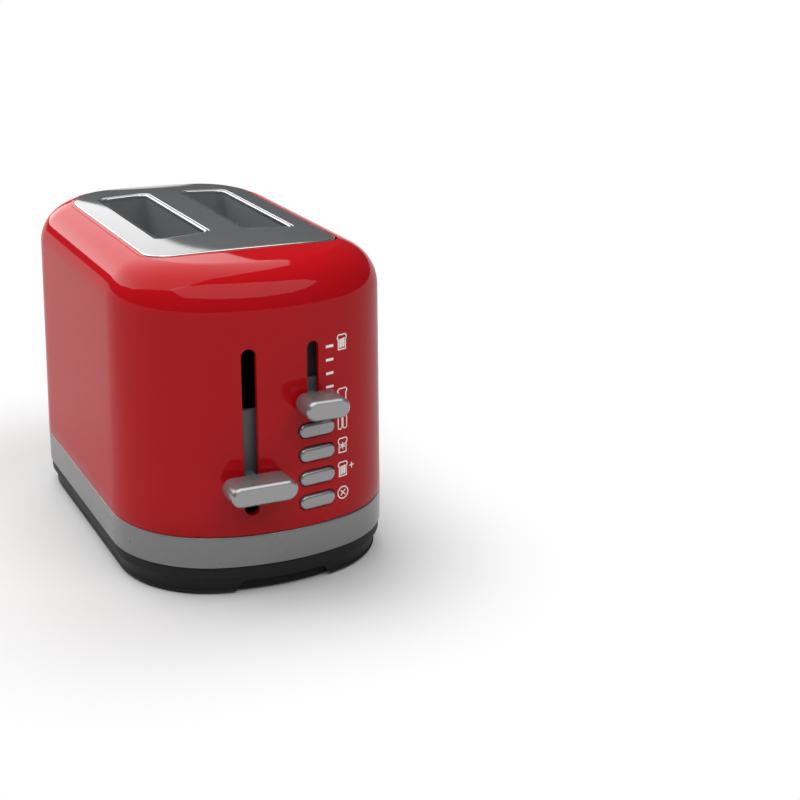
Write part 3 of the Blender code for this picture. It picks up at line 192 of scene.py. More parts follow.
class StageSettings(bpy.types.PropertyGroup):
    """Camera, lamps and floor."""
    camera: FloatVectorProperty(name="Camera", description="Place of the camera", size=3,
                                default=(-0.21566, -0.62587, 0.28364), subtype='XYZ', unit='LENGTH')
    azimuth: FloatProperty(name="Azimuth", description="Camera's turn about the vertical",
                           default=-0.4625177, subtype='ANGLE', unit='ROTATION')
    elevation: FloatProperty(name="Elevation", description="Camera's height angle",
                             default=0.3340556, subtype='ANGLE', unit='ROTATION')
    roll: FloatProperty(name="Roll", description="Camera's tilt", default=0.0142746,
                        subtype='ANGLE', unit='ROTATION')
    lens: FloatProperty(name="Lens", description="Focal length in millimetres", default=68.657,
                        min=1.0, subtype='DISTANCE_CAMERA')
    sky: FloatProperty(name="Sky", description="Strength of the even light", default=0.08, min=0.0)
    back_box: FloatProperty(name="Back softbox", description="Radiance of the softbox behind",
                            default=2.6, min=0.0)
    front_box: FloatProperty(name="Front softbox", description="Radiance of the softbox in front",
                             default=2.9, min=0.0)
    floor: colour("Floor", "Colour of the floor", (0.57, 0.57, 0.57))


# Outlines

def spread(start, end, count):
    """Evenly spaced values from start to end, both included."""
    return [start + (end - start) * index / count for index in range(count + 1)]


def quarter(radius, steps):
    """Quarter of a round edge, as two distances that run from radius to 0 and from 0 to radius."""
    return [(radius * (1 - math.sin(angle)), radius * (1 - math.cos(angle)))
            for angle in spread(0, math.pi / 2, steps)]


def four_spots(x, y):
    """Places of four like pieces, mirrored about the housing's middle."""
    return [(sx * x, CENTRE_Y + sy * y) for sx in (-1, 1) for sy in (-1, 1)]


def between(outer, inner, share):
    """Outline a share of the way from one outline to another."""
    return [(x0 + (x1 - x0) * share, y0 + (y1 - y0) * share)
            for (x0, y0), (x1, y1) in zip(outer, inner)]


def end_half(half_width, reach, corner, bow):
    """Half of one bowed end as (x, outward) points, from its middle to its straight side."""
    bow_centre = reach - bow
    corner_x = half_width - corner
    rise = math.sqrt((bow - corner) ** 2 - corner_x ** 2)
    split = math.atan2(corner_x, rise)
    middle = [(bow * math.sin(angle), bow_centre + bow * math.cos(angle))
              for angle in spread(0, split, 24)]
    turn = [(corner_x + corner * math.sin(angle), bow_centre + rise + corner * math.cos(angle))
            for angle in spread(split, math.pi / 2, 30)]
    return middle[:-1] + turn


def joined_ring(front, back):
    """Closed outline, counter-clockwise from above, from the right halves of its two ends."""
    right = [(x, -out) for x, out in front]
    side = right[-1:], back[-1:]
    right += [between(*side, share)[0] for share in spread(0, 1, 12)[1:-1]]
    right += list(reversed(back))
    left = [(-x, y) for x, y in reversed(right[1:-1])]
    return [(x, y + CENTRE_Y) for x, y in right + left]


def body_ring(body, inset):
    """Plan of the housing, drawn in by inset all round."""
    end = end_half(body.width / 2 - inset, body.depth / 2 - inset, body.corner - inset,
                   body.bow - inset)
    return joined_ring(end, end)


def panel_ring(body, top, inset, front_inset=None):
    """Plan of the top panel, which follows the housing at its sides and back."""
    front_inset = inset if front_inset is None else front_inset
    margin = top.margin + inset
    back = end_half(body.width / 2 - margin, body.depth / 2 - margin, body.corner - margin,
                    body.bow - margin)
    front = end_half(body.width / 2 - margin, body.depth / 2 - top.setback - front_inset,
                     top.front_corner - inset, top.front_bow - front_inset)
    return joined_ring(front, back)


def moat_ring(body, top, inset):
    """Edge of the housing's opening for the panel, which leaves a gap all round."""
    return panel_ring(body, top, inset - top.side_gap, inset - top.front_gap)


def rounded_ring(width, height, radius, steps=8):
    """Rounded rectangle about zero, counter-clockwise."""
    points = []
    for turn, (sx, sy) in enumerate(((1, -1), (1, 1), (-1, 1), (-1, -1))):
        start = (turn - 1) * math.pi / 2
        for angle in spread(start, start + math.pi / 2, steps):
            points.append((sx * (width / 2 - radius) + radius * math.cos(angle),
                           sy * (height / 2 - radius) + radius * math.sin(angle)))
    return [point for point, before in zip(points, points[-1:] + points[:-1])
            if (Vector(point) - Vector(before)).length > SHORT]


def stadium(width, height, steps=12):
    """Outline with flat long sides and round ends."""
    return rounded_ring(width, height, min(width, height) / 2, steps)


def circle(radius, steps=32):
    """Circle about zero, counter-clockwise."""
    return [(radius * math.cos(2 * math.pi * index / steps),
             radius * math.sin(2 * math.pi * index / steps)) for index in range(steps)]


def flat(ring, z):
    """Outline lifted to one height."""
    return [(x, y, z) for x, y in ring]


def across(ring, y, x, z):
    """Outline drawn in width and height, stood up square to the Y axis."""
    return [(x + u, y, z + v) for u, v in ring]


def dome(body, top, x, y):
    """Height of the domed top over a point of the plan."""
    half_width = body.width / 2 - top.margin
    half_depth = body.depth / 2 - top.margin
    rise = (1 - (x / half_width) ** 2) * (1 - ((y - CENTRE_Y) / half_depth) ** 4)
    return body.top + body.crown * rise


def on_dome(body, top, ring, lift):
    """Outline laid on the domed top, moved up by lift."""
    return [(x, y, dome(body, top, x, y) + lift) for x, y in ring]


def shoulder_bottom(body, top):
    """Angle at which the shoulder ends, and the height where it begins."""
    end = math.acos((body.draft + body.shoulder - top.margin) / body.shoulder)
    return end, body.top - body.shoulder * math.sin(end)


def wall_y(body, top, x, z, inset=0.0):
    """Y of the front wall's outer face, or of a face that lies inset behind it."""
    low = shoulder_bottom(body, top)[1]
    draft = body.draft * min(1.0, max(0.0, (z - body.band_top) / (low - body.band_top)))
    radius = body.bow - draft - inset
    return CENTRE_Y - (body.depth / 2 - body.bow + math.sqrt(radius ** 2 - x ** 2))


def bowed(body, top, ring, x, z, inset):
    """Outline laid on the bowed front wall, inset behind its outer face."""
    return [(x + u, wall_y(body, top, x + u, z + v, inset), z + v) for u, v in ring]


# Meshes

def new_object(name, mesh):
    """Object for a mesh, in the scene."""
    made = bpy.data.objects.new(name, mesh)
    bpy.context.scene.collection.objects.link(made)
    return made


def bridge(bm, low, high):
    """Faces between two rows with equal numbers of points."""
    count = len(low)
    return [bm.faces.new((low[index], low[(index + 1) % count],
                          high[(index + 1) % count], high[index])) for index in range(count)]


def add_rings(bm, rings, looped=False, caps=True):
    """Faces through rings with equal numbers of points, and the rows of their corners."""
    rows = [[bm.verts.new(point) for point in ring] for ring in rings]
    pairs = list(zip(rows, rows[1:]))
    if looped:
        pairs.append((rows[-1], rows[0]))
    faces = []
    for low, high in pairs:
        faces += bridge(bm, low, high)
    if not looped and caps:
        faces.append(bm.faces.new(list(reversed(rows[0]))))
        faces.append(bm.faces.new(rows[-1]))
    bmesh.ops.recalc_face_normals(bm, faces=faces)
    return rows


def solid(name, *stacks, looped=False):
    """Mesh object through one or more stacks of rings."""
    mesh = bpy.data.meshes.new(name)
    bm = bmesh.new()
    for rings in stacks:
        add_rings(bm, rings, looped)
    bm.to_mesh(mesh)
    bm.free()
    return new_object(name, mesh)


def box(low, high):
    """Rings of a box between two corners."""
    (x0, y0, z0), (x1, y1, z1) = low, high
    plan = [(x0, y0), (x1, y0), (x1, y1), (x0, y1)]
    return [flat(plan, z0), flat(plan, z1)]


def post(x, y, radius, low, high, steps=32):
    """Rings of an upright cylinder."""
    plan = [(x + u, y + v) for u, v in circle(radius, steps)]
    return [flat(plan, low), flat(plan, high)]


def boolean(target, tool, operation='DIFFERENCE'):
    """Cut a tool out of the target or join it on, and remove the tool."""
    modifier = target.modifiers.new("cut", 'BOOLEAN')
    modifier.operation = operation
    modifier.solver = 'EXACT'
    modifier.object = tool
    freeze(target)
    bpy.data.objects.remove(tool, do_unlink=True)


def freeze(piece):
    """Turn what a piece's modifiers make into its plain mesh."""
    bpy.context.view_layer.update()
    evaluated = piece.evaluated_get(bpy.context.evaluated_depsgraph_get())
    mesh = bpy.data.meshes.new_from_object(evaluated)
    piece.modifiers.clear()
    old = piece.data
    piece.data = mesh
    mesh.name = piece.name
    bpy.data.meshes.remove(old)


def finish(piece, body, surface, replaced=(), angle=35.0):
    """Shade a piece, give it its material and let it ride on its body."""
    if not piece.data.polygons:
        raise RuntimeError(f"{piece.name} has no faces")
    piece.data.materials.clear()
    piece.data.materials.append(surface)
    piece.data.shade_smooth()
    piece.data.set_sharp_from_angle(angle=math.radians(angle))
    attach(piece, body)
    if replaced:
        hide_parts(*replaced)
    return piece


def dome_shading(body, top, piece):
    """Shade a cut piece's level faces by the dome itself, so that cuts leave no dents in them."""
    mesh, step, level = piece.data, 0.0005, 0.97
    normals = [corner.vector.copy() for corner in mesh.corner_normals]
    for polygon in mesh.polygons:
        if polygon.normal.z < level:
            continue
        for loop in polygon.loop_indices:
            x, y, _ = mesh.vertices[mesh.loops[loop].vertex_index].co
            slope_x = dome(body, top, x + step, y) - dome(body, top, x - step, y)
            slope_y = dome(body, top, x, y + step) - dome(body, top, x, y - step)
            normals[loop] = Vector((-slope_x, -slope_y, 2 * step)).normalized()
    mesh.normals_split_custom_set([tuple(normal) for normal in normals])


# Nodes

class Value:
    """Output socket that can be used in sums."""

    def __init__(self, graph, socket):
        self.graph, self.socket = graph, socket

    def maths(self, operation, *values):
        """Math node over values."""
        return self.graph.add('ShaderNodeMath', {"operation": operation},
                              dict(enumerate(values)))

    def __add__(self, other):
        return self.maths('ADD', self, other)

    def __sub__(self, other):
        return self.maths('SUBTRACT', self, other)

    def __rsub__(self, other):
        return self.maths('SUBTRACT', other, self)

    def __mul__(self, other):
        return self.maths('MULTIPLY', self, other)

    def __pow__(self, other):
        return self.maths('POWER', self, other)

    def above(self, edge, width):
        """0 below an edge and 1 above it, with a soft step of a width."""
        return self.graph.add('ShaderNodeMapRange', {"interpolation_type": 'SMOOTHSTEP'}, {
            "Value": self, "From Min": edge - width / 2, "From Max": edge + width / 2})

    __radd__ = __add__
    __rmul__ = __mul__


class Nodes:
    """Node tree whose nodes are added one by one."""

    def add(self, kind, settings=None, sockets=None, output=0):
        """A node of a kind, with its settings and then its sockets, and one of its outputs."""
        node = self.tree.nodes.new(kind)
        for name, value in (settings or {}).items():
            setattr(node, name, value)
        for name, value in (sockets or {}).items():
            self.set(node.inputs[name], value)
        return Value(self, node.outputs[output])

    def set(self, socket, value):
        """Link a value to a socket, or write a constant on it."""
        if isinstance(value, Value):
            self.tree.links.new(value.socket, socket)
        elif socket.type == 'RGBA' and len(value) == 3:
            socket.default_value = (*value, 1.0)
        else:
            socket.default_value = value


# Geometry node trees

class Tree(Nodes):
    """Geometry node tree with named inputs, built node by node."""

    def __init__(self, name, inputs):
        self.tree = bpy.data.node_groups.new(name, 'GeometryNodeTree')
        faces = self.tree.interface
        faces.new_socket("Geometry", in_out='OUTPUT', socket_type='NodeSocketGeometry')
        faces.new_socket("Geometry", in_out='INPUT', socket_type='NodeSocketGeometry')
        self.ids = {}
        for label, value in inputs.items():
            kind = 'NodeSocketInt' if isinstance(value, int) else 'NodeSocketFloat'
            if isinstance(value, bpy.types.Material):
                kind = 'NodeSocketMaterial'
            if isinstance(value, bpy.types.Object):
                kind = 'NodeSocketObject'
            self.ids[label] = faces.new_socket(label, in_out='INPUT', socket_type=kind).identifier
        self.start = self.tree.nodes.new('NodeGroupInput')
        self.values = inputs

    def __getitem__(self, label):
        """Output socket of a named input."""
        return Value(self, self.start.outputs[label])

    def copies(self, points):
        """The master piece on every point."""
        shape = self.add('GeometryNodeObjectInfo', {"transform_space": 'ORIGINAL'},
                         {"Object": self["Master"]}, output="Geometry")
        return self.add('GeometryNodeInstanceOnPoints',
                        sockets={"Points": points, "Instance": shape})

    def end(self, geometry, material_label):
        """Close the tree with realised instances in their material."""
        real = self.add('GeometryNodeRealizeInstances', sockets={"Geometry": geometry})
        done = self.add('GeometryNodeSetMaterial', sockets={"Geometry": real,
                                                            "Material": self[material_label]})
        self.set(self.tree.nodes.new('NodeGroupOutput').inputs[0], done)

    def make(self, name, mesh=None):
        """New object that is the tree's result as a plain mesh."""
        piece = new_object(name, mesh or bpy.data.meshes.new(name))
        modifier = piece.modifiers.new("build", 'NODES')
        modifier.node_group = self.tree
        for label, value in self.values.items():
            modifier[self.ids[label]] = value
        freeze(piece)
        return piece


def coil_tree(surface, radius, wire, turns, low, high):
    """Tree that winds a round wire up along Z from low to high."""
    tree = Tree("coil", {"Radius": radius, "Wire": wire, "Turns": float(turns), "Low": low,
                         "Height": high - low, "Surface": surface})
    spiral = tree.add('GeometryNodeCurveSpiral', sockets={
        "Resolution": 28, "Rotations": tree["Turns"], "Start Radius": tree["Radius"],
        "End Radius": tree["Radius"], "Height": tree["Height"]})
    section = tree.add('GeometryNodeCurvePrimitiveCircle', sockets={
        "Resolution": 10, "Radius": tree["Wire"]})
    swept = tree.add('GeometryNodeCurveToMesh', sockets={
        "Curve": spiral, "Profile Curve": section, "Fill Caps": True})
    lift = tree.add('ShaderNodeCombineXYZ', sockets={"Z": tree["Low"]})
    moved = tree.add('GeometryNodeTransform', sockets={"Geometry": swept, "Translation": lift})
    smooth = tree.add('GeometryNodeSetShadeSmooth', sockets={"Geometry": moved})
    tree.end(smooth, "Surface")
    return tree


def row_tree(surface, master, count, step):
    """Tree that repeats a master piece along Z, count times at a step."""
    tree = Tree("row", {"Master": master, "Count": count, "Step": step, "Surface": surface})
    offset = tree.add('ShaderNodeCombineXYZ', sockets={"Z": tree["Step"]})
    line = tree.add('GeometryNodeMeshLine', {"mode": 'OFFSET'}, {
        "Count": tree["Count"], "Start Location": (0.0, 0.0, 0.0), "Offset": offset})
    tree.end(tree.copies(line), "Surface")
    return tree


def points_tree(surface, master):
    """Tree that sets a master piece on every point of the mesh that it is given."""
    tree = Tree("points", {"Master": master, "Surface": surface})
    tree.end(tree.copies(tree["Geometry"]), "Surface")
    return tree


def make_and_drop(tree, name, *helpers, mesh=None):
    """Result of a tree, with the objects that it read removed."""
    piece = tree.make(name, mesh)
    for item in helpers:
        bpy.data.objects.remove(item, do_unlink=True)
    return piece


# Materials

class Graph(Nodes):
    """Material, world or lamp, whose nodes are added one by one."""

    PLACES = {"Principled BSDF": ('ShaderNodeTexCoord', "Object"),
              "Background": ('ShaderNodeTexCoord', "Generated"),
              "Emission": ('ShaderNodeNewGeometry', "Position")}

    def __init__(self, name, owner=None):
        self.material = owner or bpy.data.materials.new(name)
        self.material.use_nodes = True
        self.tree = self.material.node_tree
        self.shader = next(node for node in self.tree.nodes if node.name in self.PLACES)
        kind, output = self.PLACES[self.shader.name]
        self.place = self.add(kind, output=output)

    def noise(self, scale, detail=2.0, roughness=0.5, place=None):
        """Soft noise between 0 and 1, scale in lumps per metre."""
        return self.add('ShaderNodeTexNoise', {"noise_dimensions": '3D'}, {
            "Vector": place or self.place, "Scale": scale, "Detail": detail,
            "Roughness": roughness})

    def mix(self, factor, first, second):
        """Colour between two colours."""
        return self.add('ShaderNodeMix', {"data_type": 'RGBA'}, {
            0: factor, 6: first, 7: second}, output=2)

    def bump(self, height, depth):
        """Normal from a height, depth in metres."""
        return self.add('ShaderNodeBump', sockets={
            "Strength": 1.0, "Distance": depth, "Height": height})

    def part(self, axis, vector=None):
        """One coordinate of a vector, or of the place."""
        return self.add('ShaderNodeSeparateXYZ', sockets={"Vector": vector or self.place},
                        output=axis)

    def along(self, axis):
        """How far the place lies along an axis."""
        return self.add('ShaderNodeVectorMath', {"operation": 'DOT_PRODUCT'},
                        {0: self.place, 1: axis}, output="Value")

    def done(self, **values):
        """Write the shader's sockets, named with underscores, and return the material."""
        for name, value in values.items():
            self.set(self.shader.inputs[name.replace("_", " ")], value)
        return self.material


def shaded(base, share):
    """A colour made lighter or darker by a share."""
    return tuple(min(1.0, part * share) for part in base)


def gloss_plastic(name, base):
    """Glossy moulded plastic: a mirror coat over a faintly uneven colour."""
    graph = Graph(name)
    cloud = graph.noise(28.0, 3.0)
    peel = graph.noise(900.0, 2.0)
    smear = graph.noise(60.0, 4.0, 0.6)
    return graph.done(
        Base_Color=graph.mix(cloud, shaded(base, 0.94), shaded(base, 1.05)),
        Roughness=0.30 + smear * 0.10,
        Normal=graph.bump(peel, 0.000003),
        Specular_IOR_Level=0.0,
        Coat_Weight=0.48,
        Coat_Roughness=0.015,
        Coat_IOR=1.35)


def satin_plastic(name, base, metallic, roughness, grain=0.00002, sheen=0.5):
    """Satin finish of fine metal-look paint: flakes in the colour, a fine grain on the surface."""
    graph = Graph(name)
    flakes = graph.noise(9000.0, 1.0)
    cloud = graph.noise(45.0, 3.0)
    shade = graph.mix(flakes, shaded(base, 0.92), shaded(base, 1.08))
    return graph.done(
        Base_Color=graph.mix(cloud * 0.5, shade, shaded(base, 1.08)),
        Metallic=metallic,
        Roughness=roughness - 0.03 + cloud * 0.06,
        Normal=graph.bump(flakes, grain),
        Specular_IOR_Level=sheen)


def panel_paint(name, base, bright):
    """Glossy grey paint that is worn bright on the rounded edges."""
    graph = Graph(name)
    flakes = graph.noise(9000.0, 1.0)
    cloud = graph.noise(45.0, 3.0)
    normal = graph.add('ShaderNodeNewGeometry', output="Normal")
    edge = 1 - graph.part("Z", normal).above(0.90, 0.10)
    shade = graph.mix(flakes, shaded(base, 0.90), shaded(base, 1.10))
    return graph.done(
        Base_Color=graph.mix(edge, graph.mix(cloud * 0.5, shade, shaded(base, 1.08)), bright),
        Metallic=edge * 0.85,
        Roughness=0.03 + cloud * 0.03 + edge * 0.10,
        Normal=graph.bump(flakes, 0.0000008),
        Specular_IOR_Level=0.46)


def grained_plastic(name, base, roughness, grain=0.00004, sheen=0.5):
    """Moulded plastic with a fine spark-eroded grain."""
    graph = Graph(name)
    spots = graph.noise(2600.0, 2.0)
    cloud = graph.noise(50.0, 3.0)
    return graph.done(
        Base_Color=graph.mix(cloud, shaded(base, 0.9), shaded(base, 1.12)),
        Roughness=roughness - 0.05 + spots * 0.1,
        Normal=graph.bump(spots, grain),
        Specular_IOR_Level=sheen)


def bright_metal(name, base, roughness):
    """Bright metal with faint drawn streaks along Z."""
    graph = Graph(name)
    drawn = graph.add('ShaderNodeMapping', {"vector_type": 'POINT'}, {
        "Vector": graph.place, "Scale": (1.0, 1.0, 0.02)})
    streaks = graph.noise(6000.0, 2.0, 0.5, drawn)
    return graph.done(
        Base_Color=graph.mix(streaks, shaded(base, 0.93), shaded(base, 1.03)),
        Metallic=1.0,
        Roughness=roughness - 0.04 + streaks * 0.08,
        Normal=graph.bump(streaks, 0.000003))


def rubber(name, base):
    """Matt rubber with a dusty, uneven face."""
    graph = Graph(name)
    dust = graph.noise(700.0, 4.0, 0.7)
    return graph.done(
        Base_Color=graph.mix(dust ** 2.0, base, shaded(base, 2.2)),
        Roughness=0.72 + dust * 0.2,
        Normal=graph.bump(dust, 0.00003))


def ink_print(name, base):
    """Pad-printed ink: slightly uneven cover with a soft sheen."""
    graph = Graph(name)
    cover = graph.noise(3000.0, 2.0)
    return graph.done(
        Base_Color=graph.mix(cover, shaded(base, 0.93), base),
        Roughness=0.34 + cover * 0.1,
        Normal=graph.bump(cover, 0.000006))


SURFACES = {}


def build_surfaces(scene):
    """Every finish of the toy, by name."""
    body, top = scene.toaster_body, scene.toaster_top
    SURFACES.update({
        "red": gloss_plastic("housing_red_gloss", body.red),
        "silver": satin_plastic("control_silver", body.silver, 0.65, 0.22),
        "button": satin_plastic("button_silver", shaded(body.silver, 0.92), 0.65, 0.20),
        "band": satin_plastic("band_silver", shaded(body.silver, 0.66), 0.6, 0.28, sheen=0.2),
        "panel": panel_paint("panel_silver", top.panel, top.rim),
        "well": satin_plastic("well_silver", shaded(top.panel, 1.7), 0.0, 0.34, 0.00001),
        "black": grained_plastic("base_black", body.black, 0.5, sheen=0.1),
        "grey": grained_plastic("stem_grey", (0.10, 0.102, 0.105), 0.42, sheen=0.3),
        "inner": grained_plastic("inner_black", (0.06, 0.06, 0.062), 0.5),
        "natural": grained_plastic("gear_natural", (0.72, 0.70, 0.64), 0.42, 0.00002),
        "steel": bright_metal("steel_bright", (0.6, 0.6, 0.61), 0.24),
        "zinc": bright_metal("screw_zinc", (0.62, 0.61, 0.6), 0.3),
        "rubber": rubber("foot_rubber", (0.018, 0.018, 0.018)),
        "ink": ink_print("mark_ink", scene.toaster_marks.ink),
    })


# Housing

def shoulder_rings(body, top, wall, steps):
    """Rings of the shoulder, upwards, eased into the dome at the outer face."""
    end, low = shoulder_bottom(body, top)
    centre = body.draft + body.shoulder
    radius = body.shoulder - wall
    if wall:
        ledge = body.top + top.proud - top.thickness - GAP - LEDGE
        end = math.asin((ledge - low) / radius)
    rings = []
    for step, angle in enumerate(spread(0, end, steps)):
        ring = flat(body_ring(body, centre - radius * math.cos(angle)),
                    low + radius * math.sin(angle))
        if not wall:
            ease = max(0.0, step / steps * 2 - 1) ** 2
            ring = [(x, y, z + ease * (dome(body, top, x, y) - body.top)) for x, y, z in ring]
        rings.append(ring)
    return rings


def housing_rings(body, top):
    """Closed section of the housing: outer wall, shoulder, shelf, panel ledge, inner wall."""
    low = body.band_top + GAP
    high = shoulder_bottom(body, top)[1]
    edge = 0.00025
    rings = [flat(body_ring(body, edge), low), flat(body_ring(body, edge * 0.3), low + edge * 0.3)]
    rings += [flat(body_ring(body, body.draft * t), low + edge + (high - low - edge) * t)
              for t in spread(0, 1, 12)[:-1]]
    rings += shoulder_rings(body, top, 0.0, 26)[:-1]
    shelf = body_ring(body, top.margin), moat_ring(body, top, -top.moat_edge)
    rings += [on_dome(body, top, between(*shelf, share), 0.0) for share in spread(0, 1, 10)]
    rings += [on_dome(body, top, moat_ring(body, top, -out), -down)
              for out, down in quarter(top.moat_edge, 5)[1:]]
    seat = top.proud - top.thickness - GAP
    ledge = panel_ring(body, top, LEDGE_REACH)
    rings += [on_dome(body, top, moat_ring(body, top, 0.0), seat), on_dome(body, top, ledge, seat)]
    rings.append(flat(ledge, body.top + seat - LEDGE))
    rings += reversed(shoulder_rings(body, top, body.wall, 8))
    rings.append(flat(body_ring(body, body.wall), low))
    return rings


def cut_slot(shell, body, top, x, z, width, height, edge=0.00035):
    """Cut a round-ended hole with a rounded mouth into the front wall."""
    mouth = 0.0006
    rings = [bowed(body, top, stadium(width + 2 * grow, height + 2 * grow), x, z, inset)
             for grow, inset in [(edge + mouth, -mouth), *quarter(edge, 4), (0.0, CUT_DEPTH)]]
    boolean(shell, solid("cutter", rings))


def button_heights(controls):
    """Heights of the buttons, from the top one down."""
    return [controls.button_top - index * controls.button_pitch
            for index in range(controls.button_count)]


class TOASTER_OT_housing(bpy.types.Operator):
    """Build the red housing with its slots and button holes"""
    bl_idname = "toaster.housing"
    bl_label = "Housing"

    def execute(self, context):
        body, top = context.scene.toaster_body, context.scene.toaster_top
        controls = context.scene.toaster_controls
        shell = solid("housing_skin", housing_rings(body, top), looped=True)
        for x, width, low, high in (
                (controls.lever_x, controls.lever_slot, controls.lever_low, controls.lever_high),
                (controls.dial_x, controls.dial_slot, controls.dial_low, controls.dial_high)):
            cut_slot(shell, body, top, x, (low + high) / 2, width, high - low)
        for z in button_heights(controls):
            cut_slot(shell, body, top, controls.button_x, z, controls.button_width + 0.0007,
                     controls.button_height + 0.0007, 0.00025)
        finish(shell, "housing", SURFACES["red"], ("body_shell",))
        return {'FINISHED'}


# Band, base and feet

class TOASTER_OT_band(bpy.types.Operator):
    """Build the satin trim band as a section drawn round the plan"""
    bl_idname = "toaster.band"
    bl_label = "Trim band"

    def execute(self, context):
        body = context.scene.toaster_body
        low, high, edge = body.band_bottom, body.band_top, 0.0008
        section = [(0.0, low)] + [(inset, high - down) for down, inset in quarter(edge, 5)]
        lip_out, lip_in, lip_top = 0.0025, 0.004, high + 0.003
        section += [(lip_out, high), (lip_out, lip_top), (lip_in, lip_top), (lip_in, low)]
        band = solid("trim_band_skin", [flat(body_ring(body, inset), z) for inset, z in section],
                     looped=True)
        finish(band, "housing", SURFACES["band"], ("trim_band",))
        return {'FINISHED'}


def base_section(body):
    """Outer profile of the base as (inset, height), upwards, and its inside."""
    ring_low, skirt_low = 0.0085, 0.0008
    outer = [(0.0034, skirt_low), (0.0029, skirt_low + 0.00015), (0.0026, skirt_low + 0.0006),
             (0.0027, skirt_low + 0.0011), (0.0031, skirt_low + 0.0013)]
    outer += [(0.0031 + (0.0010 - 0.0031) * t ** 1.3, 0.0021 + (ring_low - 0.0021) * t)
              for t in spread(0, 1, 8)[1:]]
    outer += [(0.0008, ring_low), (0.0006, ring_low + 0.0002), (0.0006, body.band_bottom - 0.0006),
              (0.0009, body.band_bottom - GAP), (0.0043, body.band_bottom - GAP),
              (0.0043, body.band_bottom + 0.0027), (0.0058, body.band_bottom + 0.0027),
              (0.0058, 0.0030)]
    return outer


def finger_recess(body, top):
    """Cutter of the shallow finger recess in the front of the skirt, with slanting ends."""
    rings = []
    for z, reach, depth in ((-PAST, 0.0218, 0.0053), (0.0008, 0.0215, 0.0053),
                            (0.0056, 0.0182, 0.0053), (0.0060, 0.0175, 0.0047)):
        xs = spread(reach, -reach, 24)
        back = [(x, wall_y(body, top, x, 0.0, depth)) for x in xs]
        front = CENTRE_Y - body.depth / 2 - 0.002
        rings.append(flat(back + [(back[-1][0], front), (back[0][0], front)], z))
    return solid("cutter", rings)


class TOASTER_OT_base(bpy.types.Operator):
    """Build the black base with its ring, skirt and recesses"""
    bl_idname = "toaster.base"
    bl_label = "Base"

    def execute(self, context):
        body, top = context.scene.toaster_body, context.scene.toaster_top
        rings = [flat(body_ring(body, inset), z) for inset, z in base_section(body)]
        base = solid("base_skin", rings)
        holes = [post(*spot, 0.003, -PAST, 0.0053) for spot in four_spots(*SCREW_SPOT)]
        feet = [post(*spot, 0.0073, -PAST, 0.0019) for spot in four_spots(*FOOT_SPOT)]
        boolean(base, solid("cutter", *holes, *feet))
        boolean(base, finger_recess(body, top))
        finish(base, "housing", SURFACES["black"], ("base",), 30.0)
        return {'FINISHED'}


def set_out(name, master, spots, surface, replaced):
    """Set a master piece on every spot, as one piece of the housing."""
    points = bpy.data.meshes.new("spots")
    points.from_pydata(spots, [], [])
    piece = make_and_drop(points_tree(surface, master), name, master, mesh=points)
    finish(piece, "housing", surface, replaced)


def lathe(name, profile, steps=40):
    """Round master piece about Z from (radius, height) pairs."""
    return solid(name, [flat(circle(radius, steps), z) for radius, z in profile])


class TOASTER_OT_feet(bpy.types.Operator):
    """Set the rubber feet and the base's screws under the base"""
    bl_idname = "toaster.feet"
    bl_label = "Feet and screws"

    def execute(self, context):
        foot = lathe("foot_master", [(0.0050, 0.00025), (0.0054, 0.0), (0.0064, 0.0),
                                     (0.0069, 0.0002), (0.0070, 0.0005), (0.0070, 0.0016)])
        set_out("foot_pads", foot, flat(four_spots(*FOOT_SPOT), 0.0),
                SURFACES["rubber"], ("foot_1", "foot_2", "foot_3", "foot_4"))
        screw = lathe("screw_master", [(0.0021, 0.0), (0.0026, 0.0003), (0.0027, 0.0009),
                                       (0.0027, 0.0016), (0.0014, 0.0016), (0.0014, 0.030)], 24)
        for high in ((0.0016, 0.00028, 0.0009), (0.00028, 0.0016, 0.0008)):
            boolean(screw, solid("cutter", box((-high[0], -high[1], -PAST), high)))
        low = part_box("base_screw_1")[0].z
        set_out("base_screws", screw, flat(four_spots(*SCREW_SPOT), low),
                SURFACES["zinc"], ("base_screw_1", "base_screw_2", "base_screw_3", "base_screw_4"))
        return {'FINISHED'}


# Top

def domed_plate(body, top, name, profile):
    """Plate through rings near its edge, closed over the dome by rings that draw in."""
    mesh = bpy.data.meshes.new(name)
    bm = bmesh.new()
    rows = add_rings(bm, [on_dome(body, top, panel_ring(body, top, inset), lift)
                          for inset, lift in profile], caps=False)
    for row, lift in ((rows[0], profile[0][1]), (rows[-1], profile[-1][1])):
        middle = sum((vert.co for vert in row), Vector()) / len(row)
        last = row
        for share in (0.94, 0.86, 0.76, 0.65, 0.53, 0.4, 0.27, 0.13):
            ring = []
            for vert in row:
                x = vert.co.x * share
                y = middle.y + (vert.co.y - middle.y) * share
                ring.append(bm.verts.new((x, y, dome(body, top, x, y) + lift)))
            bridge(bm, last, ring)
            last = ring
        bm.faces.new(last)
    bmesh.ops.recalc_face_normals(bm, faces=bm.faces)
    bm.to_mesh(mesh)
    bm.free()
    return new_object(name, mesh)


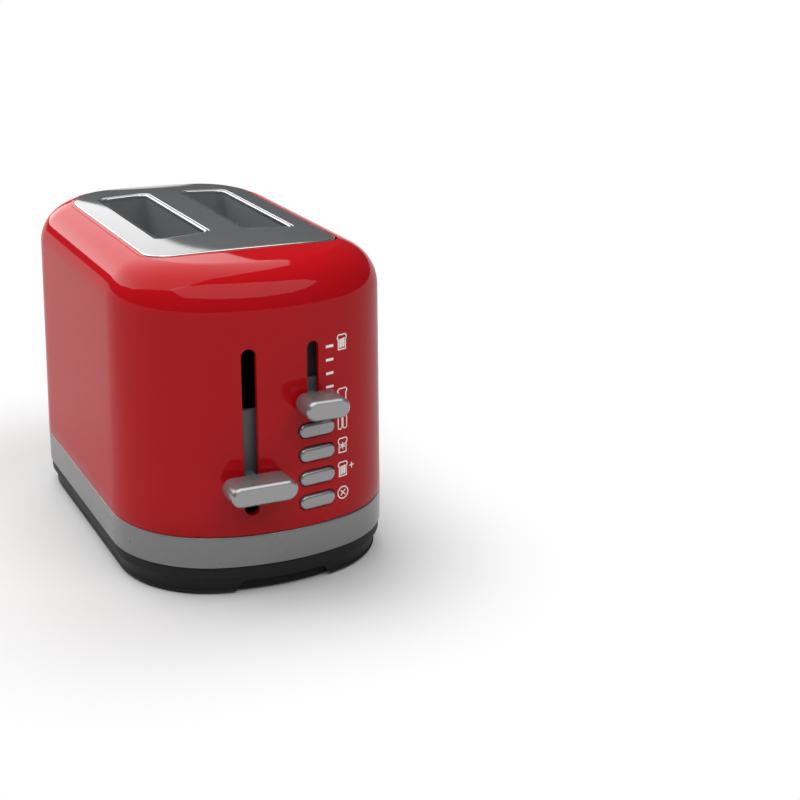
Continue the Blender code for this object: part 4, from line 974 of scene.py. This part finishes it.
class TOASTER_OT_panel(bpy.types.Operator):
    """Build the domed top panel with its two bread openings"""
    bl_idname = "toaster.panel"
    bl_label = "Top panel"

    def execute(self, context):
        body, top = context.scene.toaster_body, context.scene.toaster_top
        edge = top.edge
        profile = [(0.0, top.proud - top.thickness), (0.0, top.proud - edge)]
        profile += [(inset, top.proud - down) for down, inset in quarter(edge, 6)[1:]]
        panel = domed_plate(body, top, "top_panel_skin", profile)
        for side in (-1, 1):
            rings = []
            for grow, lift in ((0.0004, 0.004), (0.0004, top.proud), (0.0002, top.proud - 0.00005),
                               (0.00006, top.proud - 0.00018), (0.0, top.proud - 0.0004),
                               (0.0, -0.006)):
                plan = rounded_ring(top.slot_width + 2 * grow, top.slot_length + 2 * grow,
                                    top.slot_corner + grow, 10)
                plan = [(side * top.slot_x + u, CENTRE_Y + top.slot_y + v) for u, v in plan]
                rings.append(on_dome(body, top, plan, lift))
            boolean(panel, solid("cutter", rings))
        finish(panel, "housing", SURFACES["panel"], ("top_panel",), 50.0)
        dome_shading(body, top, panel)
        return {'FINISHED'}


class TOASTER_OT_wells(bpy.types.Operator):
    """Build the two bread wells with their bright rims"""
    bl_idname = "toaster.wells"
    bl_label = "Bread wells"

    def execute(self, context):
        body, top = context.scene.toaster_body, context.scene.toaster_top
        for number, side in ((1, -1), (2, 1)):
            self.well(body, top, number, side)
        return {'FINISHED'}

    def well(self, body, top, number, side):
        """One well: its chute and its rim, which are two pieces of one moulding."""
        x, y = side * top.slot_x, CENTRE_Y + top.slot_y
        outer, inner = GAP, GAP + 0.0013
        flange_reach, flange_height = 0.0022, 0.0014

        def plan(inset):
            corner = max(top.slot_corner - inset, top.slot_corner * min(1.0, inset / inner))
            ring = rounded_ring(top.slot_width - 2 * inset, top.slot_length - 2 * inset, corner, 10)
            return [(x + u, y + v) for u, v in ring]

        def lifted(inset, lift):
            return on_dome(body, top, plan(inset), lift)

        flange, joint = body.top - 0.0046, -0.0016
        rings = [flat(plan(inset), z) for inset, z in (
            (outer, top.well_bottom), (outer, flange - flange_height),
            (outer - flange_reach, flange - flange_height), (outer - flange_reach, flange),
            (outer, flange))]
        rings += [lifted(outer, joint), lifted(inner, joint), flat(plan(inner), top.well_bottom)]
        well = solid(f"bread_well_skin_{number}", rings, looped=True)
        front = y - top.slot_length / 2
        boolean(well, solid("cutter", box((x - 0.003, front - 0.002, top.well_bottom - 0.002),
                                          (x + 0.003, front + 0.004, 0.0818))))
        finish(well, "housing", SURFACES["well"], (f"bread_well_{number}",))
        crest = top.proud - 0.00005
        bead = [(top.bead_gap, joint), (top.bead_gap, crest)]
        bead += [(inner - out, crest - down) for out, down in quarter(top.bead, 8)]
        bead += [(inner, joint)]
        rim = solid(f"well_rim_{number}", [lifted(*pair) for pair in bead], looped=True)
        finish(rim, "housing", SURFACES["panel"], (), 60.0)


class TOASTER_OT_lifts(bpy.types.Operator):
    """Build the bread lifts that carry the slices in the wells"""
    bl_idname = "toaster.lifts"
    bl_label = "Bread lifts"

    def execute(self, context):
        for number in (1, 2):
            low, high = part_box(f"bread_lift_{number}")
            x = (low.x + high.x) / 2
            bar = solid(f"bread_lift_skin_{number}", self.bar(x, low, high))
            for start in spread(low.y, high.y - 0.0024, 6):
                boolean(bar, solid("finger", self.finger(x, start, high)), 'UNION')
            finish(bar, "lift", SURFACES["grey"], (f"bread_lift_{number}",))
        return {'FINISHED'}

    def bar(self, x, low, high):
        """Rings of the long bar, from front to back."""
        tall = high.z - low.z - 0.0008
        ring = rounded_ring(0.0016, tall, 0.0004, 3)
        return [across(ring, y, x, low.z + tall / 2) for y in (high.y, low.y)]

    def finger(self, x, start, high):
        """Rings of one cross finger, with rounded ends and edges."""
        ring = rounded_ring(0.0024, 0.0032, 0.0007, 4)
        y, z = start + 0.0012, high.z - 0.0016
        return [[(x + side, y + u * scale, z + v * scale) for u, v in ring]
                for side, scale in ((-0.0085, 0.8), (-0.0082, 1.0), (0.0082, 1.0), (0.0085, 0.8))]


# Controls

def knob(name, low, high, chamfer, grip):
    """Pull knob between two corners: round-ended bar with a chamfered face and a socket behind."""
    x, z = (low.x + high.x) / 2, (low.z + high.z) / 2
    width, height = high.x - low.x, high.z - low.z
    soft = 0.00022
    profile = [(0.0008, high.y), (0.0002, high.y - 0.0002), (0.0, high.y - 0.0008),
               (0.0, low.y + chamfer + soft), (soft * 0.25, low.y + chamfer + soft * 0.2),
               (soft, low.y + chamfer - soft * 0.6), (chamfer - soft * 0.5, low.y + soft * 0.6),
               (chamfer, low.y + 0.00004), (chamfer + soft, low.y), (chamfer + 0.0006, low.y)]
    rings = [across(stadium(width - 2 * inset, height - 2 * inset, 16), y, x, z)
             for inset, y in profile]
    made = solid(name, rings)
    socket = rounded_ring(grip[0], grip[1], 0.001, 4)
    boolean(made, solid("cutter", [across(socket, high.y + 0.002, x, z),
                                   across(socket, high.y - 0.006, x, z)]))
    return made


class TOASTER_OT_knobs(bpy.types.Operator):
    """Build the knobs of the lever and of the browning slider"""
    bl_idname = "toaster.knobs"
    bl_label = "Knobs"

    def execute(self, context):
        chamfer = context.scene.toaster_controls.chamfer
        lever = knob("lever_knob_skin", KNOB_LOW, KNOB_HIGH, chamfer, (0.0056, 0.0058))
        finish(lever, "lift", SURFACES["silver"], ("lever_knob",), 50.0)
        dial = knob("browning_knob_skin", DIAL_LOW, DIAL_HIGH, chamfer, (0.0051, 0.0050))
        finish(dial, "browning", SURFACES["silver"], ("browning_knob",), 50.0)
        return {'FINISHED'}


def button(body, top, controls, number, z):
    """One button: a domed cap that follows the wall, with its flange and stem behind."""
    def ring(inset, depth):
        plan = stadium(controls.button_width - 2 * inset, controls.button_height - 2 * inset, 14)
        return bowed(body, top, plan, controls.button_x, z, depth)

    back, proud, edge = body.wall + GAP, controls.button_proud, 0.0012
    rings = [ring(-0.001, back + 0.0012), ring(-0.001, back), ring(0.0, back),
             ring(0.0, edge - proud)]
    rings += [ring(inset, 0.75 * down - proud) for down, inset in quarter(edge, 8)[1:]]
    rings.append(ring(0.0021, -proud - 0.00006))
    made = solid(f"button_skin_{number}", rings)
    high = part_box(f"button_{number}")[1]
    start = wall_y(body, top, controls.button_x, z, back + 0.0006)
    stem = [across(circle(0.0012, 16), y, controls.button_x, z) for y in (high.y, start)]
    boolean(made, solid("stem", stem), 'UNION')
    return made


def spring(name, node, joint, axis, turn, radius, wire, turns):
    """Coil in a CAD spring's box along an axis; it reads how far its joint travels, but is left as
    wound, not pressed together.
    """
    low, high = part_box(node)
    along = Vector(axis)
    coil = coil_tree(SURFACES["steel"], radius, wire, turns, low.dot(along) + wire,
                     high.dot(along) - wire).make(name)
    coil.data.transform(turn)
    finish(coil, "housing", SURFACES["steel"], (node,))
    travel = next(item["range_m"][1] for item in frame["record"]["behaviour"]["joints"]
                  if item["name"] == joint)
    keep = 1 - travel / (high - low).dot(along)
    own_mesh(coil)


class TOASTER_OT_buttons(bpy.types.Operator):
    """Build the function buttons and their springs"""
    bl_idname = "toaster.buttons"
    bl_label = "Buttons"

    def execute(self, context):
        body, top = context.scene.toaster_body, context.scene.toaster_top
        controls = context.scene.toaster_controls
        lying = Matrix.Rotation(-math.pi / 2, 4, 'X')
        for number, z in enumerate(button_heights(controls), 1):
            made = button(body, top, controls, number, z)
            finish(made, f"press_{number}", SURFACES["button"],
                   (f"button_{number}",), 50.0)
            turn = Matrix.Translation((controls.button_x, 0, z)) @ lying
            spring(f"button_coil_{number}", f"button_spring_{number}", f"button_{number}_press",
                   (0, 1, 0), turn, radius=0.0019, wire=0.0003, turns=3)
        return {'FINISHED'}


class TOASTER_OT_stems(bpy.types.Operator):
    """Build the lever's shutter and neck, the browning slider and the lift spring"""
    bl_idname = "toaster.stems"
    bl_label = "Stems and lift spring"

    def execute(self, context):
        controls = context.scene.toaster_controls
        self.shutter(controls)
        self.slider(controls)
        low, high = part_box("lift_spring")
        spring("lift_spring_coil", "lift_spring", "lever_slide", (0, 0, 1),
               Matrix.Translation((0, (low.y + high.y) / 2, 0)), radius=0.0022, wire=0.00035,
               turns=12)
        return {'FINISHED'}

    def neck(self, x, z, width, height, front, back):
        """Rings of a neck between a plate and its knob."""
        ring = rounded_ring(width, height, 0.001, 5)
        return [across(ring, back, x, z), across(ring, front, x, z)]

    def shutter(self, controls):
        """Crowned plate behind the lever's slot, and its neck."""
        low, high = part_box("lever_stem")
        x = (low.x + high.x) / 2
        half = (high.x - low.x) / 2
        face = high.y - 0.0014
        plan = [(x + u, face - 0.0007 * (1 - (u / half) ** 2)) for u in spread(-half, half, 24)]
        plan += [(x + half, high.y), (x - half, high.y)]
        stem = solid("lever_stem_skin", [flat(plan, low.z), flat(plan, high.z)])
        z = (KNOB_LOW.z + KNOB_HIGH.z) / 2
        neck = self.neck(x, z, controls.lever_slot - 0.0009, 0.0052, low.y, face)
        boolean(stem, solid("neck", neck), 'UNION')
        finish(stem, "lift", SURFACES["grey"], ("lever_stem",))

    def slider(self, controls):
        """Plate behind the browning slot, and its neck."""
        low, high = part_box("browning_slider")
        x, z = (low.x + high.x) / 2, (low.z + high.z) / 2
        ring = rounded_ring(high.x - low.x, high.z - low.z, 0.0018, 6)
        plate = solid("browning_slider_skin", [across(ring, high.y, x, z),
                                               across(ring, high.y - 0.0018, x, z)])
        neck = self.neck(x, z, controls.dial_slot - 0.0006, 0.0044, low.y, high.y - 0.0009)
        boolean(plate, solid("neck", neck), 'UNION')
        finish(plate, "browning", SURFACES["grey"], ("browning_slider",))


# Printed marks

DARK_SLICE_Z, PALE_SLICE_Z = 0.1031, 0.0803
SPLIT_BUN_Z, STAR_SLICE_Z, PLUS_SLICE_Z, CANCEL_Z = 0.0687, 0.0587, 0.0482, 0.0377


def lay_on_wall(body, top, mesh, lift):
    """Bend a mesh drawn in X and Z on to the front wall, lifted off it, its Y counted inwards."""
    for vert in mesh.vertices:
        x, depth, z = vert.co
        vert.co.y = wall_y(body, top, x, z) - lift + depth
    mesh.update()


def stroke(points, width, closed=False):
    """Outline pieces of a line of a width: one four-sided ring for each stretch."""
    pairs = list(zip(points, points[1:] + (points[:1] if closed else [])))
    rings = []
    for start, end in pairs:
        a, b = Vector(start), Vector(end)
        if (b - a).length < SHORT:
            continue
        along = (b - a).normalized() * width / 2
        side = Vector((-along.y, along.x))
        rings.append([a - along - side, b + along - side, b + along + side, a - along + side])
    return rings


def slice_outline(width, height):
    """Outline of a bread slice about zero: a body with a mushroom crown."""
    crown, side = height * 0.19, width * 0.40
    reach, centre_z = width / 2 - crown, height / 2 - crown
    low, high = -math.acos((side - reach) / crown), math.pi / 1.8
    right = [(side, -height / 2)]
    right += [(reach + crown * math.cos(angle), centre_z + crown * math.sin(angle))
              for angle in spread(low, high, 7)]
    left = [(-x, z) for x, z in reversed(right)]
    return right + [(0.0, height / 2 - crown * 0.12)] + left


def hatched(width, height, count, line):
    """Short crossing strokes that fill a slice."""
    rings = []
    for t in spread(-0.62, 0.34, count - 1):
        z = height / 2 * t
        slant = height * 0.05
        rings += stroke([(-width * 0.27, z - slant), (width * 0.27, z + slant)], line)
    for t in (-0.2, 0.0, 0.2):
        rings += stroke([(width * t, -height * 0.36), (width * t, height * 0.2)], line)
    return rings


def mark_rings(marks):
    """Every icon's strokes, as rings in X and Z."""
    tall, line = marks.icon_height, marks.line
    wide = tall * 0.74
    x = marks.icon_x
    rings = []

    def put(pieces, z, at=x):
        for ring in pieces:
            rings.append([(at + u, z + v) for u, v in ring])

    outline = stroke(slice_outline(wide, tall), line, closed=True)
    fine = line * 0.8
    put(outline + hatched(wide, tall, 6, fine), DARK_SLICE_Z)
    put(outline, PALE_SLICE_Z)
    half_bun = stroke(rounded_ring(wide * 0.42, tall * 0.9, wide * 0.21, 6), line, closed=True)
    for side in (-1, 1):
        put(half_bun, SPLIT_BUN_Z, x + side * wide * 0.27)
    put(outline, STAR_SLICE_Z)
    for turn in range(3):
        angle = math.pi * turn / 3 + math.pi / 6
        reach = Vector((math.cos(angle), math.sin(angle))) * tall * 0.21
        put(stroke([(-reach.x, -reach.y), (reach.x, reach.y)], line), STAR_SLICE_Z - tall * 0.04)
    put(outline + hatched(wide, tall, 6, fine), PLUS_SLICE_Z)
    for pair in ([(-0.001, 0), (0.001, 0)], [(0, -0.001), (0, 0.001)]):
        put(stroke(pair, line), PLUS_SLICE_Z + 0.0005, x + 0.0047)
    put(stroke(circle(tall * 0.42, 28), line, closed=True), CANCEL_Z)
    for slant in (-1, 1):
        reach = tall * 0.16
        put(stroke([(-reach, -slant * reach), (reach, slant * reach)], line), CANCEL_Z)
    return rings


class TOASTER_OT_marks(bpy.types.Operator):
    """Print the browning ticks and the generic function icons on the front"""
    bl_idname = "toaster.marks"
    bl_label = "Printed marks"

    def execute(self, context):
        body, top = context.scene.toaster_body, context.scene.toaster_top
        marks = context.scene.toaster_marks
        thick, lift = 0.00004, 0.00005
        ring = rounded_ring(marks.tick_width, marks.tick_height, 0.0002, 3)
        tick = solid("tick_master", [across(ring, thick, marks.tick_x, marks.tick_low),
                                     across(ring, 0.0, marks.tick_x, marks.tick_low)])
        step = (marks.tick_high - marks.tick_low) / (marks.tick_count - 1)
        ticks = make_and_drop(row_tree(SURFACES["ink"], tick, marks.tick_count, step),
                              "browning_ticks", tick)
        lay_on_wall(body, top, ticks.data, lift)
        finish(ticks, "housing", SURFACES["ink"])
        stacks = [[across(ring, y, 0.0, 0.0) for y in (thick, 0.0)] for ring in mark_rings(marks)]
        icons = solid("function_icons", *stacks)
        lay_on_wall(body, top, icons.data, lift)
        finish(icons, "housing", SURFACES["ink"])
        return {'FINISHED'}


# Inner pieces

class TOASTER_OT_inner(bpy.types.Operator):
    """Give the inner CAD pieces their finishes"""
    bl_idname = "toaster.inner"
    bl_label = "Inner pieces"

    def execute(self, context):
        finishes = {"chassis": "inner", "carriage": "inner", "control_frame": "inner",
                    "guide_rod_1": "steel", "guide_rod_2": "steel", "frame_screw_1": "zinc",
                    "frame_screw_2": "zinc", "timer_case": "grey", "timer_pinion": "natural"}
        for node, surface in finishes.items():
            mesh = frame["nodes"][node].data
            mesh.materials.clear()
            mesh.materials.append(SURFACES[surface])
        return {'FINISHED'}


# Stage

LAMP_DISTANCE = 1.6


def facing(azimuth, elevation, roll):
    """Axes of a camera or a lamp: to its right, up, and back from what it looks at."""
    back = Vector((math.sin(azimuth) * math.cos(elevation),
                   -math.cos(azimuth) * math.cos(elevation), math.sin(elevation)))
    right = Vector((math.cos(azimuth), math.sin(azimuth), 0))
    up = back.cross(right)
    return (math.cos(roll) * right + math.sin(roll) * up,
            math.cos(roll) * up - math.sin(roll) * right, back)


def set_up(name, data, where, axes):
    """New object for a camera or a lamp at a place, turned to its axes."""
    made = new_object(name, data)
    made.matrix_world = Matrix.Translation(where) @ Matrix(axes).transposed().to_4x4()
    return made


def stage_camera(stage):
    """Camera at the photograph's place, turned by azimuth, elevation and roll."""
    camera = set_up("camera", bpy.data.cameras.new("camera"), stage.camera,
                    facing(stage.azimuth, stage.elevation, stage.roll))
    camera.data.sensor_width = 36.0
    camera.data.lens = stage.lens
    bpy.context.scene.camera = camera


def softbox(name, turn, corners, radiance, foot=0.0):
    """Lamp that looks at the toy, cut to a convex outline, its strength given as radiance.

    Its turn is azimuth, elevation and roll in degrees. Its foot, the lowest 0.8 m, is brighter by
    a share.
    """
    across_box, up_box = [sorted(values) for values in zip(*corners)]
    size = Vector((across_box[-1] - across_box[0], up_box[-1] - up_box[0]))
    middle = Vector((across_box[-1] + across_box[0], up_box[-1] + up_box[0])) / 2
    lamp = bpy.data.lights.new(name, 'AREA')
    lamp.shape = 'RECTANGLE'
    lamp.size, lamp.size_y = size
    lamp.energy = radiance * math.pi * size.x * size.y
    x_axis, y_axis, away = facing(*map(math.radians, turn))
    centre = Vector((0, 0, 0.09)) + away * LAMP_DISTANCE
    set_up(name, lamp, centre + middle.x * x_axis + middle.y * y_axis, (x_axis, y_axis, away))
    graph = Graph(name, lamp)
    mask = 1.0
    for start, end in zip(corners, corners[1:] + corners[:1]):
        along = (Vector(end) - Vector(start)).normalized()
        inward = along.x * y_axis - along.y * x_axis
        corner = centre + start[0] * x_axis + start[1] * y_axis
        mask = (graph.along(inward) - inward.dot(corner)).above(0.0, 0.02) * mask
    if foot:
        lowest = y_axis.dot(centre) + up_box[0]
        mask = mask * (1 + foot * (1 - (graph.along(y_axis) - lowest).above(0.4, 0.8)))
    graph.set(graph.shader.inputs["Strength"], mask)


def shown_ray(graph):
    """1 for what the camera sees straight, and 1 for what it sees straight or in a reflection."""
    seen = [graph.add('ShaderNodeLightPath', output=name)
            for name in ("Is Camera Ray", "Is Glossy Ray", "Is Transmission Ray")]
    return seen[0], seen[0].maths('MAXIMUM', seen[0], seen[1].maths('MAXIMUM', seen[1], seen[2]))


def stage_world(strength):
    """Even light of a strength.

    The camera sees white, and reflections a white horizon under a dim ceiling.
    """
    world = bpy.data.worlds.new("studio")
    bpy.context.scene.world = world
    graph = Graph("studio", world)
    direct, shown = shown_ray(graph)
    ceiling = graph.part("Z").above(0.03, 0.04) * (1 - direct)
    backdrop = 1 - ceiling * 0.93
    graph.set(graph.shader.inputs["Strength"], backdrop * shown + (1 - shown) * strength)
    graph.shader.inputs["Color"].default_value = (1.0, 1.0, 1.0, 1.0)


def stage_floor(base):
    """Large pale floor that turns into the white background away from the toy."""
    ring = circle(4.0, 96)
    floor = solid("floor", [flat(ring, -0.004), flat(ring, 0.0)])
    graph = Graph("floor_pale")
    grain = graph.noise(220.0, 3.0)
    # Painted light: the white glow is measured from a box set to the left of and behind the toy, so
    # it washes out the toy's real shadow on the floor sooner on its right and in front than on its
    # left.
    beside = graph.place
    for operation, corner in (('ADD', (0.021, -0.014, 0.0)), ('ABSOLUTE', (0.0, 0.0, 0.0)),
                              ('SUBTRACT', (0.035, 0.075, 0.0)), ('MAXIMUM', (0.0, 0.0, 0.0))):
        beside = graph.add('ShaderNodeVectorMath', {"operation": operation}, {0: beside, 1: corner})
    far = graph.add('ShaderNodeVectorMath', {"operation": 'LENGTH'}, {0: beside}, output="Value")
    graph.done(Base_Color=graph.mix(grain, shaded(base, 0.985), base), Roughness=0.85,
               Specular_IOR_Level=0.1)
    glow = graph.add('ShaderNodeEmission', sockets={"Color": (1.0, 1.0, 1.0, 1.0), "Strength": 1.0})
    blend = graph.add('ShaderNodeMixShader', sockets={
        0: far.above(0.068, 0.115) * shown_ray(graph)[1],
        1: Value(graph, graph.shader.outputs[0]), 2: glow})
    graph.set(graph.tree.nodes["Material Output"].inputs["Surface"], blend)
    floor.data.materials.append(graph.material)


class TOASTER_OT_stage(bpy.types.Operator):
    """Set the camera, the lamps and the pale floor"""
    bl_idname = "toaster.stage"
    bl_label = "Stage"

    def execute(self, context):
        stage = context.scene.toaster_stage
        stage_camera(stage)
        stage_world(stage.sky)
        stage_floor(stage.floor)
        softbox("softbox_back", (198.6, 46.0, 27.7),
                [(-1.38, -1.05), (0.42, -1.10), (1.17, -0.90), (2.50, 0.48), (1.96, 1.09),
                 (0.98, 1.38), (0.37, 1.39), (-0.65, 1.07), (-1.15, 0.34), (-1.26, 0.12),
                 (-1.32, -0.35)], stage.back_box, 0.6)
        softbox("softbox_front", (-6.0, 50.9, -2.3),
                [(-1.38, 0.60), (-1.07, -0.20), (-0.11, -0.48), (0.46, -0.48), (1.00, -0.28),
                 (1.27, 0.0), (1.40, 0.45), (1.11, 0.68), (-1.10, 0.68)], stage.front_box)
        context.scene.view_settings.view_transform = 'Standard'
        return {'FINISHED'}


class TOASTER_PT_pieces(bpy.types.Panel):
    """Lists the pieces of the toy toaster"""
    bl_idname = "TOASTER_PT_pieces"
    bl_label = "Toaster"
    bl_space_type = 'VIEW_3D'
    bl_region_type = 'UI'
    bl_category = "Toaster"

    def draw(self, context):
        for operator in OPERATORS:
            self.layout.operator(operator.bl_idname)
        for settings in GROUPS:
            group = getattr(context.scene, settings)
            self.layout.label(text=settings.replace("_", " ").capitalize())
            for name in group.bl_rna.properties.keys():
                if name not in ("rna_type", "name"):
                    self.layout.prop(group, name)


OPERATORS = (TOASTER_OT_housing, TOASTER_OT_band, TOASTER_OT_base, TOASTER_OT_feet,
             TOASTER_OT_panel, TOASTER_OT_wells, TOASTER_OT_lifts, TOASTER_OT_knobs,
             TOASTER_OT_buttons, TOASTER_OT_stems, TOASTER_OT_marks, TOASTER_OT_inner,
             TOASTER_OT_stage)
GROUPS = {"toaster_body": BodySettings, "toaster_top": TopSettings,
          "toaster_controls": ControlSettings, "toaster_marks": MarkSettings,
          "toaster_stage": StageSettings}


def register():
    """Make the classes known and hang the settings on the scene."""
    for item in (*GROUPS.values(), *OPERATORS, TOASTER_PT_pieces):
        bpy.utils.register_class(item)
    for name, group in GROUPS.items():
        setattr(bpy.types.Scene, name, PointerProperty(type=group))


def unregister():
    """Take the settings and the classes away again."""
    for name in GROUPS:
        delattr(bpy.types.Scene, name)
    for item in reversed((*GROUPS.values(), *OPERATORS, TOASTER_PT_pieces)):
        bpy.utils.unregister_class(item)


def main():
    """Build every piece in order."""
    register()
    build_surfaces(bpy.context.scene)
    for operator in OPERATORS:
        group, name = operator.bl_idname.split(".")
        getattr(getattr(bpy.ops, group), name)()


if __name__ == "__main__":
    main()
